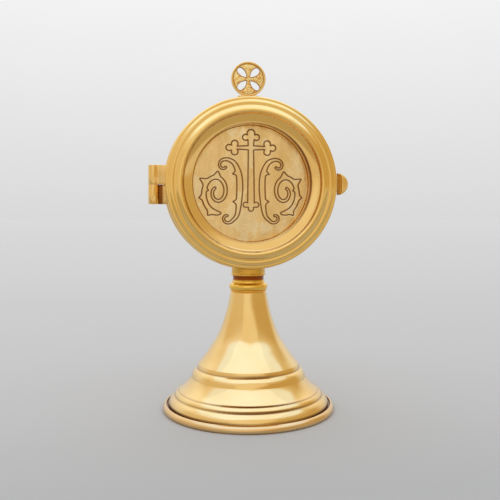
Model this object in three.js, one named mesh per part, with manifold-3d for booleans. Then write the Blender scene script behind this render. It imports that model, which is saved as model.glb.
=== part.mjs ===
// Host custodial: a round gilt case on a turned foot, with an engraved door on a barrel hinge,
// a thumb catch, a holder for the host inside, and a pierced cross in a ring on top.
// Millimetres. +Z is up, the door faces -Y, and the origin is the middle of the foot's underside.

import * as THREE from "three";
import { mergeVertices } from "three/addons/utils/BufferGeometryUtils.js";
import Module from "manifold-3d";

// Driving dimensions of the foot
const FOOT_RADIUS = 45.8;
const RIM_HEIGHT = 3.7;
const RIM_SEAT = 2.6;
const RIM_WIDTH = 4.6;
const RIM_PROUD = 2.9;
const RIM_GROOVE = 0.8;
const FOOT_HEIGHT = 62.3;
const FOOT_TOP_RADIUS = 9.7;
const SHELL_WALL = 1;
const STEP_RADIUS = 27.5;
const STEP_HEIGHT = 22.4;

// Driving dimensions of the neck and of the rod that holds it together
const ROD_RADIUS = 2.5;
const NECK_RING_RADIUS = 10.4;
const NECK_RING_HEIGHT = 5;
const NECK_ROLL = 2.1;
const SPOOL_RADIUS = 8.4;
const SPOOL_HEIGHT = 3.9;
const COLLAR_RADIUS = 9.1;
const COLLAR_HEIGHT = 5.7;
const NUT_ACROSS_FLATS = 8;
const NUT_HEIGHT = 4;
const ROD_END = 3;
const WASHER_RADIUS = 7;
const WASHER_THICKNESS = 1.2;

// Driving dimensions of the host holder, round which the case is made
const HOST_RADIUS = 35;
const HOST_SLOT = 1.7;
const CRESCENT_BAND = 3.2;
const CRESCENT_CLEARANCE = 4;
const CRESCENT_SHEET = 0.8;
const CRESCENT_HALF_ANGLE = 62;
const RIVET_RADIUS = 0.7;
const FORK_LENGTH = 7.5;
const FORK_CHEEK = 1.6;

// Driving dimensions of the case
const CASE_WALL = 1;
const CASE_RIM_PROUD = 2.1;
const CASE_RIM_DEPTH = 3;
const PARTING_Y = -8.3;
const BACK_EDGE_Y = 9;
const BACK_DOME = 4.2;

// Driving dimensions of the door
const DOOR_PROUD = 1.4;
const DOOR_EDGE_DEPTH = 10.9;
const DOOR_SHEET = 0.9;
const ROLL_INSET = 6.5;
const ROLL_DEPTH = 11.8;
const LIP_INSET = 14;
const LIP_DEPTH = 7.9;
const DOOR_BACK_THICKNESS = 0.8;
const PLATE_THICKNESS = 1.2;
const PLATE_BEVEL = 0.3;
const SPIGOT_LENGTH = 2.5;
const SPIGOT_WALL = 1;
const DOOR_GAP = 0.2;

// Driving dimensions of the hinge
const HINGE_REACH = 5.2;
const HINGE_Z = -0.9;
const HINGE_LENGTH = 20.2;
const KNUCKLE_RADIUS = 2.8;
const PIN_RADIUS = 1.1;
const LEAF_THICKNESS = 2.2;

// Driving dimensions of the thumb catch
const THUMB_RADIUS = 5.9;
const THUMB_REACH = 8.9;
const THUMB_THICKNESS = 2.6;
const THUMB_Y = -3.8;
const THUMB_Z = 0.2;
const TONGUE_WIDTH = 8;
const SHOULDER = 1.5;
const CATCH_TRAVEL = 1.3;
const GUIDE_SHEET = 0.8;
const GUIDE_EAR = 4.2;
const SPRING_STRIP = 0.35;
const TOOTH_BITE = 0.8;

// Driving dimensions of the finial
const FINIAL_RADIUS = 9.35;
const FINIAL_RING_WIDTH = 0.95;
const FINIAL_RING_DEPTH = 2.2;
const FINIAL_CROSS_DEPTH = 1.3;
const FINIAL_RISE = 13.7;
const PIERCING_HALF_WIDTH = 2.3;
const PIERCING_INNER = 1.4;
const PIERCING_BAND = 0.5;
const SADDLE_HALF_WIDTH = 6.7;
const SADDLE_DEPTH = 3;
const FINIAL_PIN_RADIUS = 1.2;
const FINIAL_NUT_FLATS = 5;
const FINIAL_NUT_HEIGHT = 1.8;

// Clearances
const FIT = 0.05;
const RUN = 0.1;
const SEAT = 0.3;

// Sizes that follow from the ones above. The case is built outwards from the host.
const shellLowerRadius = FOOT_RADIUS - RIM_PROUD;
const neckRingTop = FOOT_HEIGHT + NECK_RING_HEIGHT;
const spoolTop = neckRingTop + SPOOL_HEIGHT;
const crescentRadius = HOST_RADIUS + CRESCENT_BAND;
const drumInner = crescentRadius + CRESCENT_CLEARANCE;
const caseRadius = drumInner + CASE_WALL;
const caseRimRadius = caseRadius + CASE_RIM_PROUD;
const caseZ = spoolTop + COLLAR_HEIGHT + caseRadius;
const doorRadius = caseRadius + DOOR_PROUD;
const rollRadius = doorRadius - ROLL_INSET;
const lipRadius = doorRadius - LIP_INSET;
const hingeX = -caseRimRadius - HINGE_REACH;
const thumbTipX = caseRimRadius + THUMB_REACH;
const finialZ = caseRadius + FINIAL_RISE;

// Facets round a turned piece
const WIDE = 40;
const NARROW = 24;
const SMALL = 12;

const GOLD = 0xd9a441;
const PALE_GOLD = 0xe6c07a;
const STEEL = 0xb8b4ac;

const wasm = await Module();
wasm.setup();

function finish(color, roughness) {
  return new THREE.MeshStandardMaterial({ color, roughness, metalness: 1 });
}

const polished = finish(GOLD, 0.16);
const satin = finish(PALE_GOLD, 0.42);
const spring = finish(STEEL, 0.35);

// Geometry helpers

function solid(geometry) {
  const bare = geometry.index ? geometry.toNonIndexed() : geometry.clone();
  bare.deleteAttribute("normal");
  bare.deleteAttribute("uv");
  const merged = mergeVertices(bare, 1e-4);
  return new wasm.Manifold(
    new wasm.Mesh({
      numProp: 3,
      vertProperties: merged.attributes.position.array,
      triVerts: new Uint32Array(merged.index.array),
    }),
  );
}

function geometryOf(manifold) {
  const mesh = manifold.getMesh();
  const geometry = new THREE.BufferGeometry();
  geometry.setAttribute("position", new THREE.BufferAttribute(mesh.vertProperties, 3));
  geometry.setIndex(new THREE.BufferAttribute(mesh.triVerts, 1));
  return geometry;
}

function cut(geometry, ...cutters) {
  let body = solid(geometry);
  for (const cutter of cutters) body = body.subtract(solid(cutter));
  return geometryOf(body);
}

function join(geometry, ...others) {
  let body = solid(geometry);
  for (const other of others) body = body.add(solid(other));
  return geometryOf(body);
}

function common(geometry, other) {
  return geometryOf(solid(geometry).intersect(solid(other)));
}

function point(radius, height) {
  return new THREE.Vector2(radius, height);
}

// Points on an arc in a profile, angles in degrees from the outward direction.
function arc(radius, height, size, from, to, steps) {
  const points = [];
  for (let i = 0; i <= steps; i += 1) {
    const angle = THREE.MathUtils.degToRad(from + ((to - from) * i) / steps);
    points.push(point(radius + size * Math.cos(angle), height + size * Math.sin(angle)));
  }
  return points;
}

// A profile that runs the wrong way round is reversed, so that every turned piece faces out.
function outward(points) {
  const area = THREE.ShapeUtils.area(points);
  return area > 0 ? points : points.slice().reverse();
}

// Turned about local Y. A profile off the axis is closed on its first point.
function turned(points, segments) {
  const run = outward(points);
  const onAxis = run.findIndex((p, i) => p.x === 0 && run[(i + 1) % run.length].x === 0);
  if (onAxis >= 0) {
    const opened = [...run.slice(onAxis + 1), ...run.slice(0, onAxis + 1)];
    return new THREE.LatheGeometry(opened, segments);
  }
  return new THREE.LatheGeometry([...run, run[0]], segments);
}

// Turned about Z, for the foot, the neck and everything else that stands upright.
function turnedUp(points, segments) {
  return turned(points, segments).rotateX(Math.PI / 2);
}

function ring(inner, outer, low, high, segments) {
  return turned([point(inner, low), point(outer, low), point(outer, high), point(inner, high)], segments);
}

function box(x0, x1, y0, y1, z0, z1) {
  const geometry = new THREE.BoxGeometry(x1 - x0, y1 - y0, z1 - z0);
  return geometry.translate((x0 + x1) / 2, (y0 + y1) / 2, (z0 + z1) / 2);
}

function post(radius, z0, z1, segments = NARROW) {
  const geometry = new THREE.CylinderGeometry(radius, radius, z1 - z0, segments);
  return geometry.rotateX(Math.PI / 2).translate(0, 0, (z0 + z1) / 2);
}

function crossPin(radius, y0, y1, segments = SMALL) {
  const geometry = new THREE.CylinderGeometry(radius, radius, y1 - y0, segments);
  return geometry.translate(0, (y0 + y1) / 2, 0);
}

function drumCutter(radius) {
  return new THREE.CylinderGeometry(radius, radius, 90, WIDE * 2);
}

function hexagon(acrossFlats, z0, z1) {
  return post(acrossFlats / Math.sqrt(3), z0, z1, 6);
}

// A flat shape in the XZ plane, given thickness along Y between y0 and y1.
function plate(shape, y0, y1, curveSegments = 12) {
  const geometry = new THREE.ExtrudeGeometry(shape, {
    depth: y1 - y0,
    bevelEnabled: false,
    curveSegments,
  });
  return geometry.rotateX(Math.PI / 2).translate(0, y1, 0);
}

function piece(name, geometry, material) {
  const mesh = new THREE.Mesh(geometry, material);
  mesh.name = name;
  return mesh;
}

const custodial = new THREE.Group();
const stand = new THREE.Group();
const caseGroup = new THREE.Group();
caseGroup.position.z = caseZ;
const door = new THREE.Group();
caseGroup.add(door);
custodial.add(stand, caseGroup);

// Foot: a half-round rim ring carries the spun shell, whose mouldings step in to a tall flared cone.

function footRim() {
  const inner = FOOT_RADIUS - RIM_WIDTH;
  const lip = shellLowerRadius + RIM_GROOVE;
  const bulge = new THREE.CubicBezierCurve(
    point(FOOT_RADIUS - 1.2, 0),
    point(FOOT_RADIUS + 0.4, 0.3),
    point(FOOT_RADIUS + 0.4, 2.3),
    point(lip + 1, RIM_HEIGHT - 0.3),
  );
  const outline = [
    point(inner, 0),
    ...bulge.getPoints(5),
    point(lip + 0.3, RIM_HEIGHT),
    point(lip, RIM_HEIGHT - 0.3),
    point(lip, RIM_SEAT),
    point(inner, RIM_SEAT),
  ];
  return turnedUp(outline, WIDE);
}

// Outer outline of the shell, from its lower edge up to the top of the cone. Its mouldings are
// placed as shares of the way in and of the way up, first to the step and then to the top.
function footOutline() {
  const edge = point(shellLowerRadius, RIM_SEAT);
  const step = point(STEP_RADIUS, STEP_HEIGHT);
  const top = point(FOOT_TOP_RADIUS, FOOT_HEIGHT);
  const share = (from, to) => (across, up) =>
    point(THREE.MathUtils.lerp(from.x, to.x, across), THREE.MathUtils.lerp(from.y, to.y, up));
  const low = share(edge, step);
  const high = share(step, top);
  const lowRoll = new THREE.QuadraticBezierCurve(edge, low(0.02, 0.173), low(0.199, 0.267));
  const thinRoll = new THREE.QuadraticBezierCurve(low(0.212, 0.272), low(0.252, 0.372), low(0.377, 0.409));
  const cove = new THREE.QuadraticBezierCurve(low(0.391, 0.414), low(0.596, 0.529), low(0.748, 0.697));
  const upperRoll = new THREE.QuadraticBezierCurve(low(0.788, 0.744), low(0.844, 0.929), low(0.987, 0.979));
  const cone = new THREE.SplineCurve([
    high(0.034, 0.045),
    high(0.209, 0.14),
    high(0.407, 0.266),
    high(0.616, 0.416),
    high(0.774, 0.592),
    high(0.907, 0.792),
    top,
  ]);
  return [
    ...lowRoll.getPoints(3),
    ...thinRoll.getPoints(2),
    ...cove.getPoints(3),
    ...upperRoll.getPoints(3),
    ...cone.getPoints(8),
  ];
}

// The same outline set in by the sheet's thickness, square to the outline at each point.
function setIn(points, depth) {
  return points.map((p, i) => {
    const before = points[Math.max(i - 1, 0)];
    const after = points[Math.min(i + 1, points.length - 1)];
    const run = after.clone().sub(before).normalize();
    return point(p.x - depth * run.y, p.y + depth * run.x);
  });
}

function footShell() {
  const outside = footOutline();
  const inside = setIn(outside, SHELL_WALL).filter(
    (p, i) => i % 2 === 1 && p.y > RIM_SEAT + SHELL_WALL && p.y < FOOT_HEIGHT - 3 * SHELL_WALL,
  );
  const innerTop = FOOT_TOP_RADIUS - SHELL_WALL;
  const hole = ROD_RADIUS + RUN;
  return turnedUp(
    [
      point(shellLowerRadius - SHELL_WALL, RIM_SEAT),
      ...outside,
      point(hole, FOOT_HEIGHT),
      point(hole, FOOT_HEIGHT - SHELL_WALL),
      point(innerTop, FOOT_HEIGHT - SHELL_WALL),
      ...inside.reverse(),
    ],
    WIDE,
  );
}

const washerTop = FOOT_HEIGHT - SHELL_WALL;
const washerLow = washerTop - WASHER_THICKNESS;
const nutLow = washerLow - NUT_HEIGHT;
const rodTop = caseZ - drumInner + 3.1;

function clampWasher() {
  const hole = ROD_RADIUS + RUN;
  return turnedUp(
    [
      point(hole, washerLow),
      point(WASHER_RADIUS, washerLow),
      point(WASHER_RADIUS, washerTop),
      point(hole, washerTop),
    ],
    NARROW,
  );
}

function footNut() {
  return cut(hexagon(NUT_ACROSS_FLATS, nutLow, washerLow), post(ROD_RADIUS + FIT, nutLow - 1, washerLow + 1));
}

stand.add(
  piece("foot_rim", footRim(), polished),
  piece("foot_shell", footShell(), polished),
  piece("clamp_washer", clampWasher(), satin),
  piece("foot_nut", footNut(), satin),
  piece("stem_stud", post(ROD_RADIUS, nutLow - ROD_END, rodTop), satin),
);

// Neck: a rolled ring, a waisted spool and a collar whose top fits round the underside of the case.

function neckRing() {
  const hole = ROD_RADIUS + RUN;
  const roll = arc(NECK_RING_RADIUS - NECK_ROLL, neckRingTop - NECK_ROLL, NECK_ROLL, -55, 75, 5);
  return turnedUp(
    [
      point(hole, FOOT_HEIGHT),
      point(NECK_RING_RADIUS - 1.1, FOOT_HEIGHT),
      point(NECK_RING_RADIUS - 1.1, FOOT_HEIGHT + 0.4),
      point(NECK_RING_RADIUS - 0.5, FOOT_HEIGHT + 0.7),
      point(NECK_RING_RADIUS - 0.5, FOOT_HEIGHT + 1.2),
      ...roll,
      point(SPOOL_RADIUS + 0.3, neckRingTop),
      point(hole, neckRingTop),
    ],
    NARROW,
  );
}

function neckSpool() {
  const hole = ROD_RADIUS + RUN;
  const waist = new THREE.QuadraticBezierCurve(
    point(SPOOL_RADIUS + 0.2, neckRingTop + 0.9),
    point(SPOOL_RADIUS - 0.4, neckRingTop + 1.9),
    point(SPOOL_RADIUS, spoolTop),
  );
  return turnedUp(
    [
      point(hole, neckRingTop),
      point(SPOOL_RADIUS + 0.3, neckRingTop),
      point(SPOOL_RADIUS + 0.3, neckRingTop + 0.5),
      ...waist.getPoints(3),
      point(hole, spoolTop),
    ],
    NARROW,
  );
}

function caseCollar() {
  const hole = ROD_RADIUS + RUN;
  const top = caseZ - caseRadius + 2;
  const blank = turnedUp(
    [
      point(hole, spoolTop),
      point(COLLAR_RADIUS, spoolTop),
      point(COLLAR_RADIUS + 0.2, spoolTop + 0.4),
      point(COLLAR_RADIUS + 0.1, spoolTop + 1),
      point(COLLAR_RADIUS - 0.1, spoolTop + 1.3),
      point(COLLAR_RADIUS - 0.1, top),
      point(hole, top),
    ],
    NARROW,
  );
  const underRim = new THREE.CylinderGeometry(caseRimRadius + SEAT, caseRimRadius + SEAT, 20, WIDE * 2);
  return cut(
    blank,
    drumCutter(caseRadius + SEAT).translate(0, 0, caseZ),
    underRim.translate(0, PARTING_Y + CASE_RIM_DEPTH + SEAT - 10, caseZ),
  );
}

stand.add(
  piece("neck_ring", neckRing(), polished),
  piece("neck_spool", neckSpool(), polished),
  piece("case_collar", caseCollar(), polished),
);

// Case: a tube, a rim round its mouth and a domed back. From here on the middle of the case is
// the origin: X to the viewer's right, Y to the back, Z up.

const rimBack = PARTING_Y + CASE_RIM_DEPTH;
const catchLow = THUMB_Y - THUMB_THICKNESS / 2;
const catchHigh = THUMB_Y + THUMB_THICKNESS / 2;
const shoulderHalf = TONGUE_WIDTH / 2 + SHOULDER;
const guideOuter = shoulderHalf + RUN + GUIDE_SHEET;
const guideRivetZ = guideOuter + GUIDE_EAR * 0.57;

function caseWall() {
  const tube = ring(drumInner, caseRadius, rimBack, BACK_EDGE_Y, WIDE);
  const rodHole = post(ROD_RADIUS + RUN, -caseRadius - 2, -drumInner + 3);
  const finialHole = post(FINIAL_PIN_RADIUS + RUN, drumInner - 3, caseRadius + 2, SMALL);
  const half = TONGUE_WIDTH / 2 + RUN;
  const catchSlot = catchBox(drumInner - 4, caseRadius + 2, rimBack - 1, catchHigh + RUN, half);
  return cut(tube, rodHole, finialHole, catchSlot, ...guideRivets(RIVET_RADIUS + FIT, 3));
}

// A block at the height of the catch, its half height given last.
function catchBox(x0, x1, y0, y1, half) {
  return box(x0, x1, y0, y1, THUMB_Z - half, THUMB_Z + half);
}

function guideRivets(radius, reach) {
  return [THUMB_Z - guideRivetZ, THUMB_Z + guideRivetZ].map((z) => {
    const angle = Math.asin(z / caseRadius);
    const middle = (caseRadius + drumInner) / 2;
    return post(radius, -reach, reach, SMALL)
      .rotateY(Math.PI / 2 - angle)
      .translate(middle * Math.cos(angle), THUMB_Y, middle * Math.sin(angle));
  });
}

function caseRim() {
  const bead = arc(caseRimRadius - 1.1, PARTING_Y + 1.1, 1.1, -90, 60, 4);
  return turned(
    [
      point(drumInner, PARTING_Y),
      ...bead,
      point(caseRadius + 0.4, rimBack),
      point(drumInner, rimBack),
    ],
    WIDE,
  );
}

function caseBack() {
  const dome = BACK_EDGE_Y + BACK_DOME;
  const rolled = arc(caseRimRadius - 1.1, BACK_EDGE_Y + 1.1, 1.1, -60, 90, 4);
  const bead = arc(caseRadius - 5.6, BACK_EDGE_Y + 1.8, 1.5, 20, 160, 3);
  const swell = new THREE.QuadraticBezierCurve(
    point(caseRadius - 9, BACK_EDGE_Y + 2.3),
    point(caseRadius / 2, dome),
    point(0, dome),
  );
  return turned(
    [
      point(caseRadius, BACK_EDGE_Y),
      ...rolled,
      point(caseRadius - 2.6, BACK_EDGE_Y + 2),
      ...bead,
      ...swell.getPoints(4),
      point(0, BACK_EDGE_Y + 2.4),
      point(drumInner - 9, BACK_EDGE_Y + 1.2),
      point(drumInner - 4, BACK_EDGE_Y + 0.6),
      point(drumInner, BACK_EDGE_Y),
    ],
    WIDE,
  );
}

caseGroup.add(
  piece("case_wall", caseWall(), polished),
  piece("case_rim", caseRim(), polished),
  piece("case_back", caseBack(), polished),
);

// Host holder: two crescents with a strip between them, pinned in a fork on top of the rod.

const slotHalf = HOST_SLOT / 2;
const crescentFace = slotHalf + CRESCENT_SHEET;
const stripInner = HOST_RADIUS + SEAT;
const rivetRing = (stripInner + crescentRadius) / 2;
const forkPinZ = -rivetRing;
const rivetAngle = CRESCENT_HALF_ANGLE * 0.7;

function crescentShape() {
  const half = THREE.MathUtils.degToRad(CRESCENT_HALF_ANGLE);
  const start = -Math.PI / 2 - half;
  const end = -Math.PI / 2 + half;
  const shape = new THREE.Shape();
  shape.absarc(0, 0, crescentRadius, start, end, false);
  const tip = new THREE.Vector2(crescentRadius * Math.cos(end), crescentRadius * Math.sin(end));
  const inner = new THREE.Vector2(0, -HOST_RADIUS + 3.4);
  shape.lineTo(tip.x - 1.2, tip.y + 1);
  shape.quadraticCurveTo(tip.x * 0.62, inner.y - 0.4, 0, inner.y);
  shape.quadraticCurveTo(-tip.x * 0.62, inner.y - 0.4, -tip.x + 1.2, tip.y + 1);
  return shape;
}

function stripShape() {
  const half = THREE.MathUtils.degToRad(CRESCENT_HALF_ANGLE - 3);
  const shape = new THREE.Shape();
  shape.absarc(0, 0, crescentRadius, -Math.PI / 2 - half, -Math.PI / 2 + half, false);
  shape.absarc(0, 0, stripInner, -Math.PI / 2 + half, -Math.PI / 2 - half, true);
  return shape;
}

function rivetAt(side, radius, y0, y1) {
  const angle = THREE.MathUtils.degToRad(-90 + side * rivetAngle);
  return crossPin(radius, y0, y1).translate(rivetRing * Math.cos(angle), 0, rivetRing * Math.sin(angle));
}

function pinned(geometry) {
  const holes = [-1, 1].map((side) => rivetAt(side, RIVET_RADIUS + FIT, -5, 5));
  holes.push(crossPin(RIVET_RADIUS + FIT, -5, 5).translate(0, 0, forkPinZ));
  return cut(geometry, ...holes);
}

function crescentRivet(side) {
  const head = crescentFace + 0.5;
  return join(
    rivetAt(side, RIVET_RADIUS, -head, head),
    rivetAt(side, RIVET_RADIUS * 1.8, crescentFace, head),
    rivetAt(side, RIVET_RADIUS * 1.8, -head, -crescentFace),
  );
}

function holderFork() {
  const cheek = crescentFace + FIT + FORK_CHEEK;
  const flangeLow = -drumInner;
  const slotLow = -crescentRadius - 0.2;
  const flange = post(FORK_LENGTH / 2 + 1.6, flangeLow, flangeLow + 2.2);
  const block = box(-FORK_LENGTH / 2, FORK_LENGTH / 2, -cheek, cheek, flangeLow + 1, forkPinZ + 2);
  const slot = box(
    -FORK_LENGTH,
    FORK_LENGTH,
    -crescentFace - FIT,
    crescentFace + FIT,
    slotLow,
    forkPinZ + 5,
  );
  const tapped = post(ROD_RADIUS + FIT, flangeLow - 2, rodTop - caseZ + 0.2);
  const pinHole = crossPin(RIVET_RADIUS + FIT, -10, 10).translate(0, 0, forkPinZ);
  const seated = common(join(flange, block), drumCutter(drumInner - SEAT));
  return cut(seated, slot, tapped, pinHole);
}

function holderPin() {
  const end = crescentFace + FIT + FORK_CHEEK;
  return crossPin(RIVET_RADIUS, -end, end).translate(0, 0, forkPinZ);
}

caseGroup.add(
  piece("holder_fork", holderFork(), satin),
  piece("crescent_front", pinned(plate(crescentShape(), -crescentFace, -slotHalf, 14)), satin),
  piece("crescent_rear", pinned(plate(crescentShape(), slotHalf, crescentFace, 14)), satin),
  piece("crescent_spacer", pinned(plate(stripShape(), -slotHalf, slotHalf, 14)), satin),
  piece("crescent_rivet_left", crescentRivet(-1), satin),
  piece("crescent_rivet_right", crescentRivet(1), satin),
  piece("holder_pin", holderPin(), satin),
);

// Door: a spun ring with its mouldings, dish and inner wall, the engraved plate at the bottom of
// the dish, a flat back, and a short tube that enters the case.

const doorRear = PARTING_Y - DOOR_GAP;

// A point of the door: its radius and how far it stands in front of the door's rear face.
function doorPoint(radius, forward) {
  return point(radius, doorRear - forward);
}

function doorArc(radius, forward, size, from, to, steps) {
  return arc(radius, forward, size, from, to, steps).map((p) => doorPoint(p.x, p.y));
}

function doorBezel() {
  const edge = DOOR_EDGE_DEPTH;
  const roll = doorArc(rollRadius, ROLL_DEPTH - 1.4, 1.4, 15, 165, 4);
  const bead = doorArc(doorRadius - 2.5, edge - 0.4, 0.8, 40, 140, 2);
  const cove = new THREE.QuadraticBezierCurve(
    doorPoint(doorRadius - 3.4, edge - 0.2),
    doorPoint(doorRadius - 4.3, edge - 1),
    doorPoint(rollRadius + 1.4, edge - 0.4),
  );
  const outside = [
    doorPoint(doorRadius, 0),
    doorPoint(doorRadius, edge - 0.8),
    doorPoint(doorRadius - 0.5, edge - 0.1),
    doorPoint(doorRadius - 0.9, edge - 0.05),
    doorPoint(doorRadius - 1.4, edge - 0.6),
    ...bead,
    ...cove.getPoints(2),
    ...roll,
    doorPoint(rollRadius - 1.8, edge - 0.8),
    doorPoint(lipRadius + 3, LIP_DEPTH + 0.8),
    doorPoint(lipRadius + 0.5, LIP_DEPTH + 0.2),
    doorPoint(lipRadius, LIP_DEPTH - 0.3),
    doorPoint(lipRadius, DOOR_BACK_THICKNESS),
  ];
  const inside = [
    doorPoint(lipRadius + DOOR_SHEET, DOOR_BACK_THICKNESS),
    doorPoint(lipRadius + DOOR_SHEET, LIP_DEPTH - 0.8),
    doorPoint(rollRadius - 1.4, edge - 1.8),
    doorPoint(rollRadius, ROLL_DEPTH - 1.1),
    doorPoint(rollRadius + 1.2, edge - 1.7),
    doorPoint(doorRadius - DOOR_SHEET, edge - 1.8),
    doorPoint(doorRadius - DOOR_SHEET, 0),
  ];
  return turned([...outside, ...inside], WIDE);
}

function doorBack() {
  const radius = doorRadius - DOOR_SHEET - FIT;
  return turned(
    [
      doorPoint(0, DOOR_BACK_THICKNESS),
      doorPoint(0, 0),
      doorPoint(radius, 0),
      doorPoint(radius, DOOR_BACK_THICKNESS),
    ],
    WIDE,
  );
}

function engravedPlate() {
  const radius = lipRadius - FIT;
  const face = DOOR_BACK_THICKNESS + PLATE_THICKNESS;
  return turned(
    [
      doorPoint(0, DOOR_BACK_THICKNESS),
      doorPoint(radius, DOOR_BACK_THICKNESS),
      doorPoint(radius, face - PLATE_BEVEL * 0.8),
      doorPoint(radius - PLATE_BEVEL, face),
      doorPoint(0, face),
    ],
    WIDE,
  );
}

const spigotOuter = drumInner - SEAT;
const spigotInner = spigotOuter - SPIGOT_WALL;
const bridge = 0.6;
const windowBack = doorRear + SPIGOT_LENGTH - bridge;
const toothBack = windowBack - RUN;
const toothFront = toothBack - 0.9;
const hookHalf = 2.5;

function doorSpigot() {
  const tube = ring(spigotInner, spigotOuter, doorRear, doorRear + SPIGOT_LENGTH, WIDE);
  const window = catchBox(spigotInner - 3, spigotOuter + 3, toothFront - RUN, windowBack, hookHalf + SEAT);
  return cut(tube, window);
}

door.add(
  piece("door_bezel", doorBezel(), polished),
  piece("engraved_plate", engravedPlate(), satin),
  piece("door_back", doorBack(), satin),
  piece("door_spigot", doorSpigot(), polished),
);

// Hinge: the door has the upper knuckle and the case the lower one, on one pin.

const hingeHalf = HINGE_LENGTH / 2;

// A knuckle with its leaf, cut to fit round a ring of the given radius and drilled for the pin.
function hingeLeaf(z0, z1, y0, y1, radius) {
  const knuckle = post(KNUCKLE_RADIUS, z0, z1).translate(hingeX, PARTING_Y, 0);
  const leaf = box(hingeX, -radius + 8, y0, y1, z0, z1);
  const bore = post(PIN_RADIUS + FIT, z0 - 1, z1 + 1, SMALL).translate(hingeX, PARTING_Y, 0);
  return cut(join(knuckle, leaf), bore, drumCutter(radius + SEAT));
}

function hingeLeafCase() {
  const back = PARTING_Y + LEAF_THICKNESS;
  return hingeLeaf(HINGE_Z - hingeHalf, HINGE_Z - RUN, PARTING_Y + RUN, back, caseRimRadius);
}

function hingeLeafDoor() {
  return hingeLeaf(HINGE_Z + RUN, HINGE_Z + hingeHalf, doorRear - LEAF_THICKNESS, doorRear, doorRadius);
}

function hingePin() {
  const half = hingeHalf - RUN;
  return post(PIN_RADIUS, HINGE_Z - half, HINGE_Z + half, SMALL).translate(hingeX, PARTING_Y, 0);
}

door.add(piece("hinge_leaf_door", hingeLeafDoor(), polished));
caseGroup.add(
  piece("hinge_leaf_case", hingeLeafCase(), polished),
  piece("hinge_pin", hingePin(), polished),
);

// Thumb catch: a D-shaped thumb piece outside, a tongue through the wall, and a hook that bites
// outwards into the door's tube. A bow spring in a guide box pushes it out.

const thumbCentreX = thumbTipX - THUMB_RADIUS;
const shoulderX = Math.sqrt(drumInner ** 2 - shoulderHalf ** 2) - SEAT;
const hookX = spigotInner - 0.7;
const tongueEndX = hookX - 1.8;
const springRise = CATCH_TRAVEL + 0.9;
const guideBackX = tongueEndX - springRise;
const guideRadius = drumInner - 2 * RUN;

function thumbCatch() {
  const outline = new THREE.Shape();
  const half = TONGUE_WIDTH / 2;
  outline.moveTo(tongueEndX, -shoulderHalf);
  outline.lineTo(shoulderX, -shoulderHalf);
  outline.lineTo(shoulderX, -half);
  outline.lineTo(thumbCentreX, -half);
  outline.lineTo(thumbCentreX, -THUMB_RADIUS);
  outline.absarc(thumbCentreX, 0, THUMB_RADIUS, -Math.PI / 2, Math.PI / 2, false);
  outline.lineTo(thumbCentreX, half);
  outline.lineTo(shoulderX, half);
  outline.lineTo(shoulderX, shoulderHalf);
  outline.lineTo(tongueEndX, shoulderHalf);
  const body = plate(outline, catchLow, catchHigh, 14).translate(0, 0, THUMB_Z);
  const arm = catchBox(tongueEndX + 0.2, hookX, toothFront, catchLow + 0.5, hookHalf);
  const tooth = catchBox(hookX - 0.5, spigotInner + TOOTH_BITE, toothFront, toothBack, hookHalf);
  const swell = new THREE.CylinderGeometry(THUMB_RADIUS - 0.2, THUMB_RADIUS - 0.8, 0.6, NARROW);
  const bead = common(
    swell.translate(thumbCentreX, catchLow - 0.29, THUMB_Z),
    catchBox(thumbCentreX + 2, thumbTipX, catchLow - 2, catchHigh, THUMB_RADIUS),
  );
  return join(body, arm, tooth, bead);
}

function catchSpring() {
  const half = shoulderHalf - 0.6;
  const outline = new THREE.Shape();
  const rise = springRise - 2 * RUN - SPRING_STRIP;
  const low = guideBackX + RUN;
  outline.moveTo(low, -half);
  outline.quadraticCurveTo(low + 2 * rise, 0, low, half);
  outline.lineTo(low + SPRING_STRIP, half);
  outline.quadraticCurveTo(low + SPRING_STRIP + 2 * rise, 0, low + SPRING_STRIP, -half);
  return plate(outline, catchLow + 0.3, catchHigh - 0.3, 8).translate(0, 0, THUMB_Z);
}

function catchGuide() {
  const low = catchLow - RUN;
  const high = catchHigh + RUN;
  const earTop = guideOuter + GUIDE_EAR;
  const shoulder = shoulderHalf + RUN;
  const outside = catchBox(guideBackX - GUIDE_SHEET, caseRadius, low, high + GUIDE_SHEET, guideOuter);
  const cavity = catchBox(guideBackX, caseRadius + 1, low - 1, high, shoulder);
  const shell = common(cut(outside, cavity), drumCutter(guideRadius));
  const band = ring(guideRadius - GUIDE_SHEET, guideRadius, low, high + GUIDE_SHEET, WIDE * 2);
  const between = catchBox(drumInner / 2, caseRadius, low - 1, high + 2, shoulder + 0.1);
  const ears = cut(common(band, catchBox(drumInner / 2, caseRadius, low - 1, high + 2, earTop)), between);
  return cut(join(shell, ears), ...guideRivets(RIVET_RADIUS + FIT, 4));
}

function guideRivet(index) {
  return common(guideRivets(RIVET_RADIUS, 1.9)[index], drumCutter(caseRadius - RUN));
}

caseGroup.add(
  piece("thumb_catch", thumbCatch(), polished),
  piece("catch_spring", catchSpring(), spring),
  piece("catch_guide", catchGuide(), satin),
  piece("guide_rivet_upper", guideRivet(1), satin),
  piece("guide_rivet_lower", guideRivet(0), satin),
);

// Finial: a cradle on top of the case holds a ring, and a pierced cross fills the ring.

const ringInner = FINIAL_RADIUS - FINIAL_RING_WIDTH;
const saddleLow = caseRadius + SEAT;
const pinTop = finialZ - FINIAL_RADIUS - 0.6;

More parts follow.
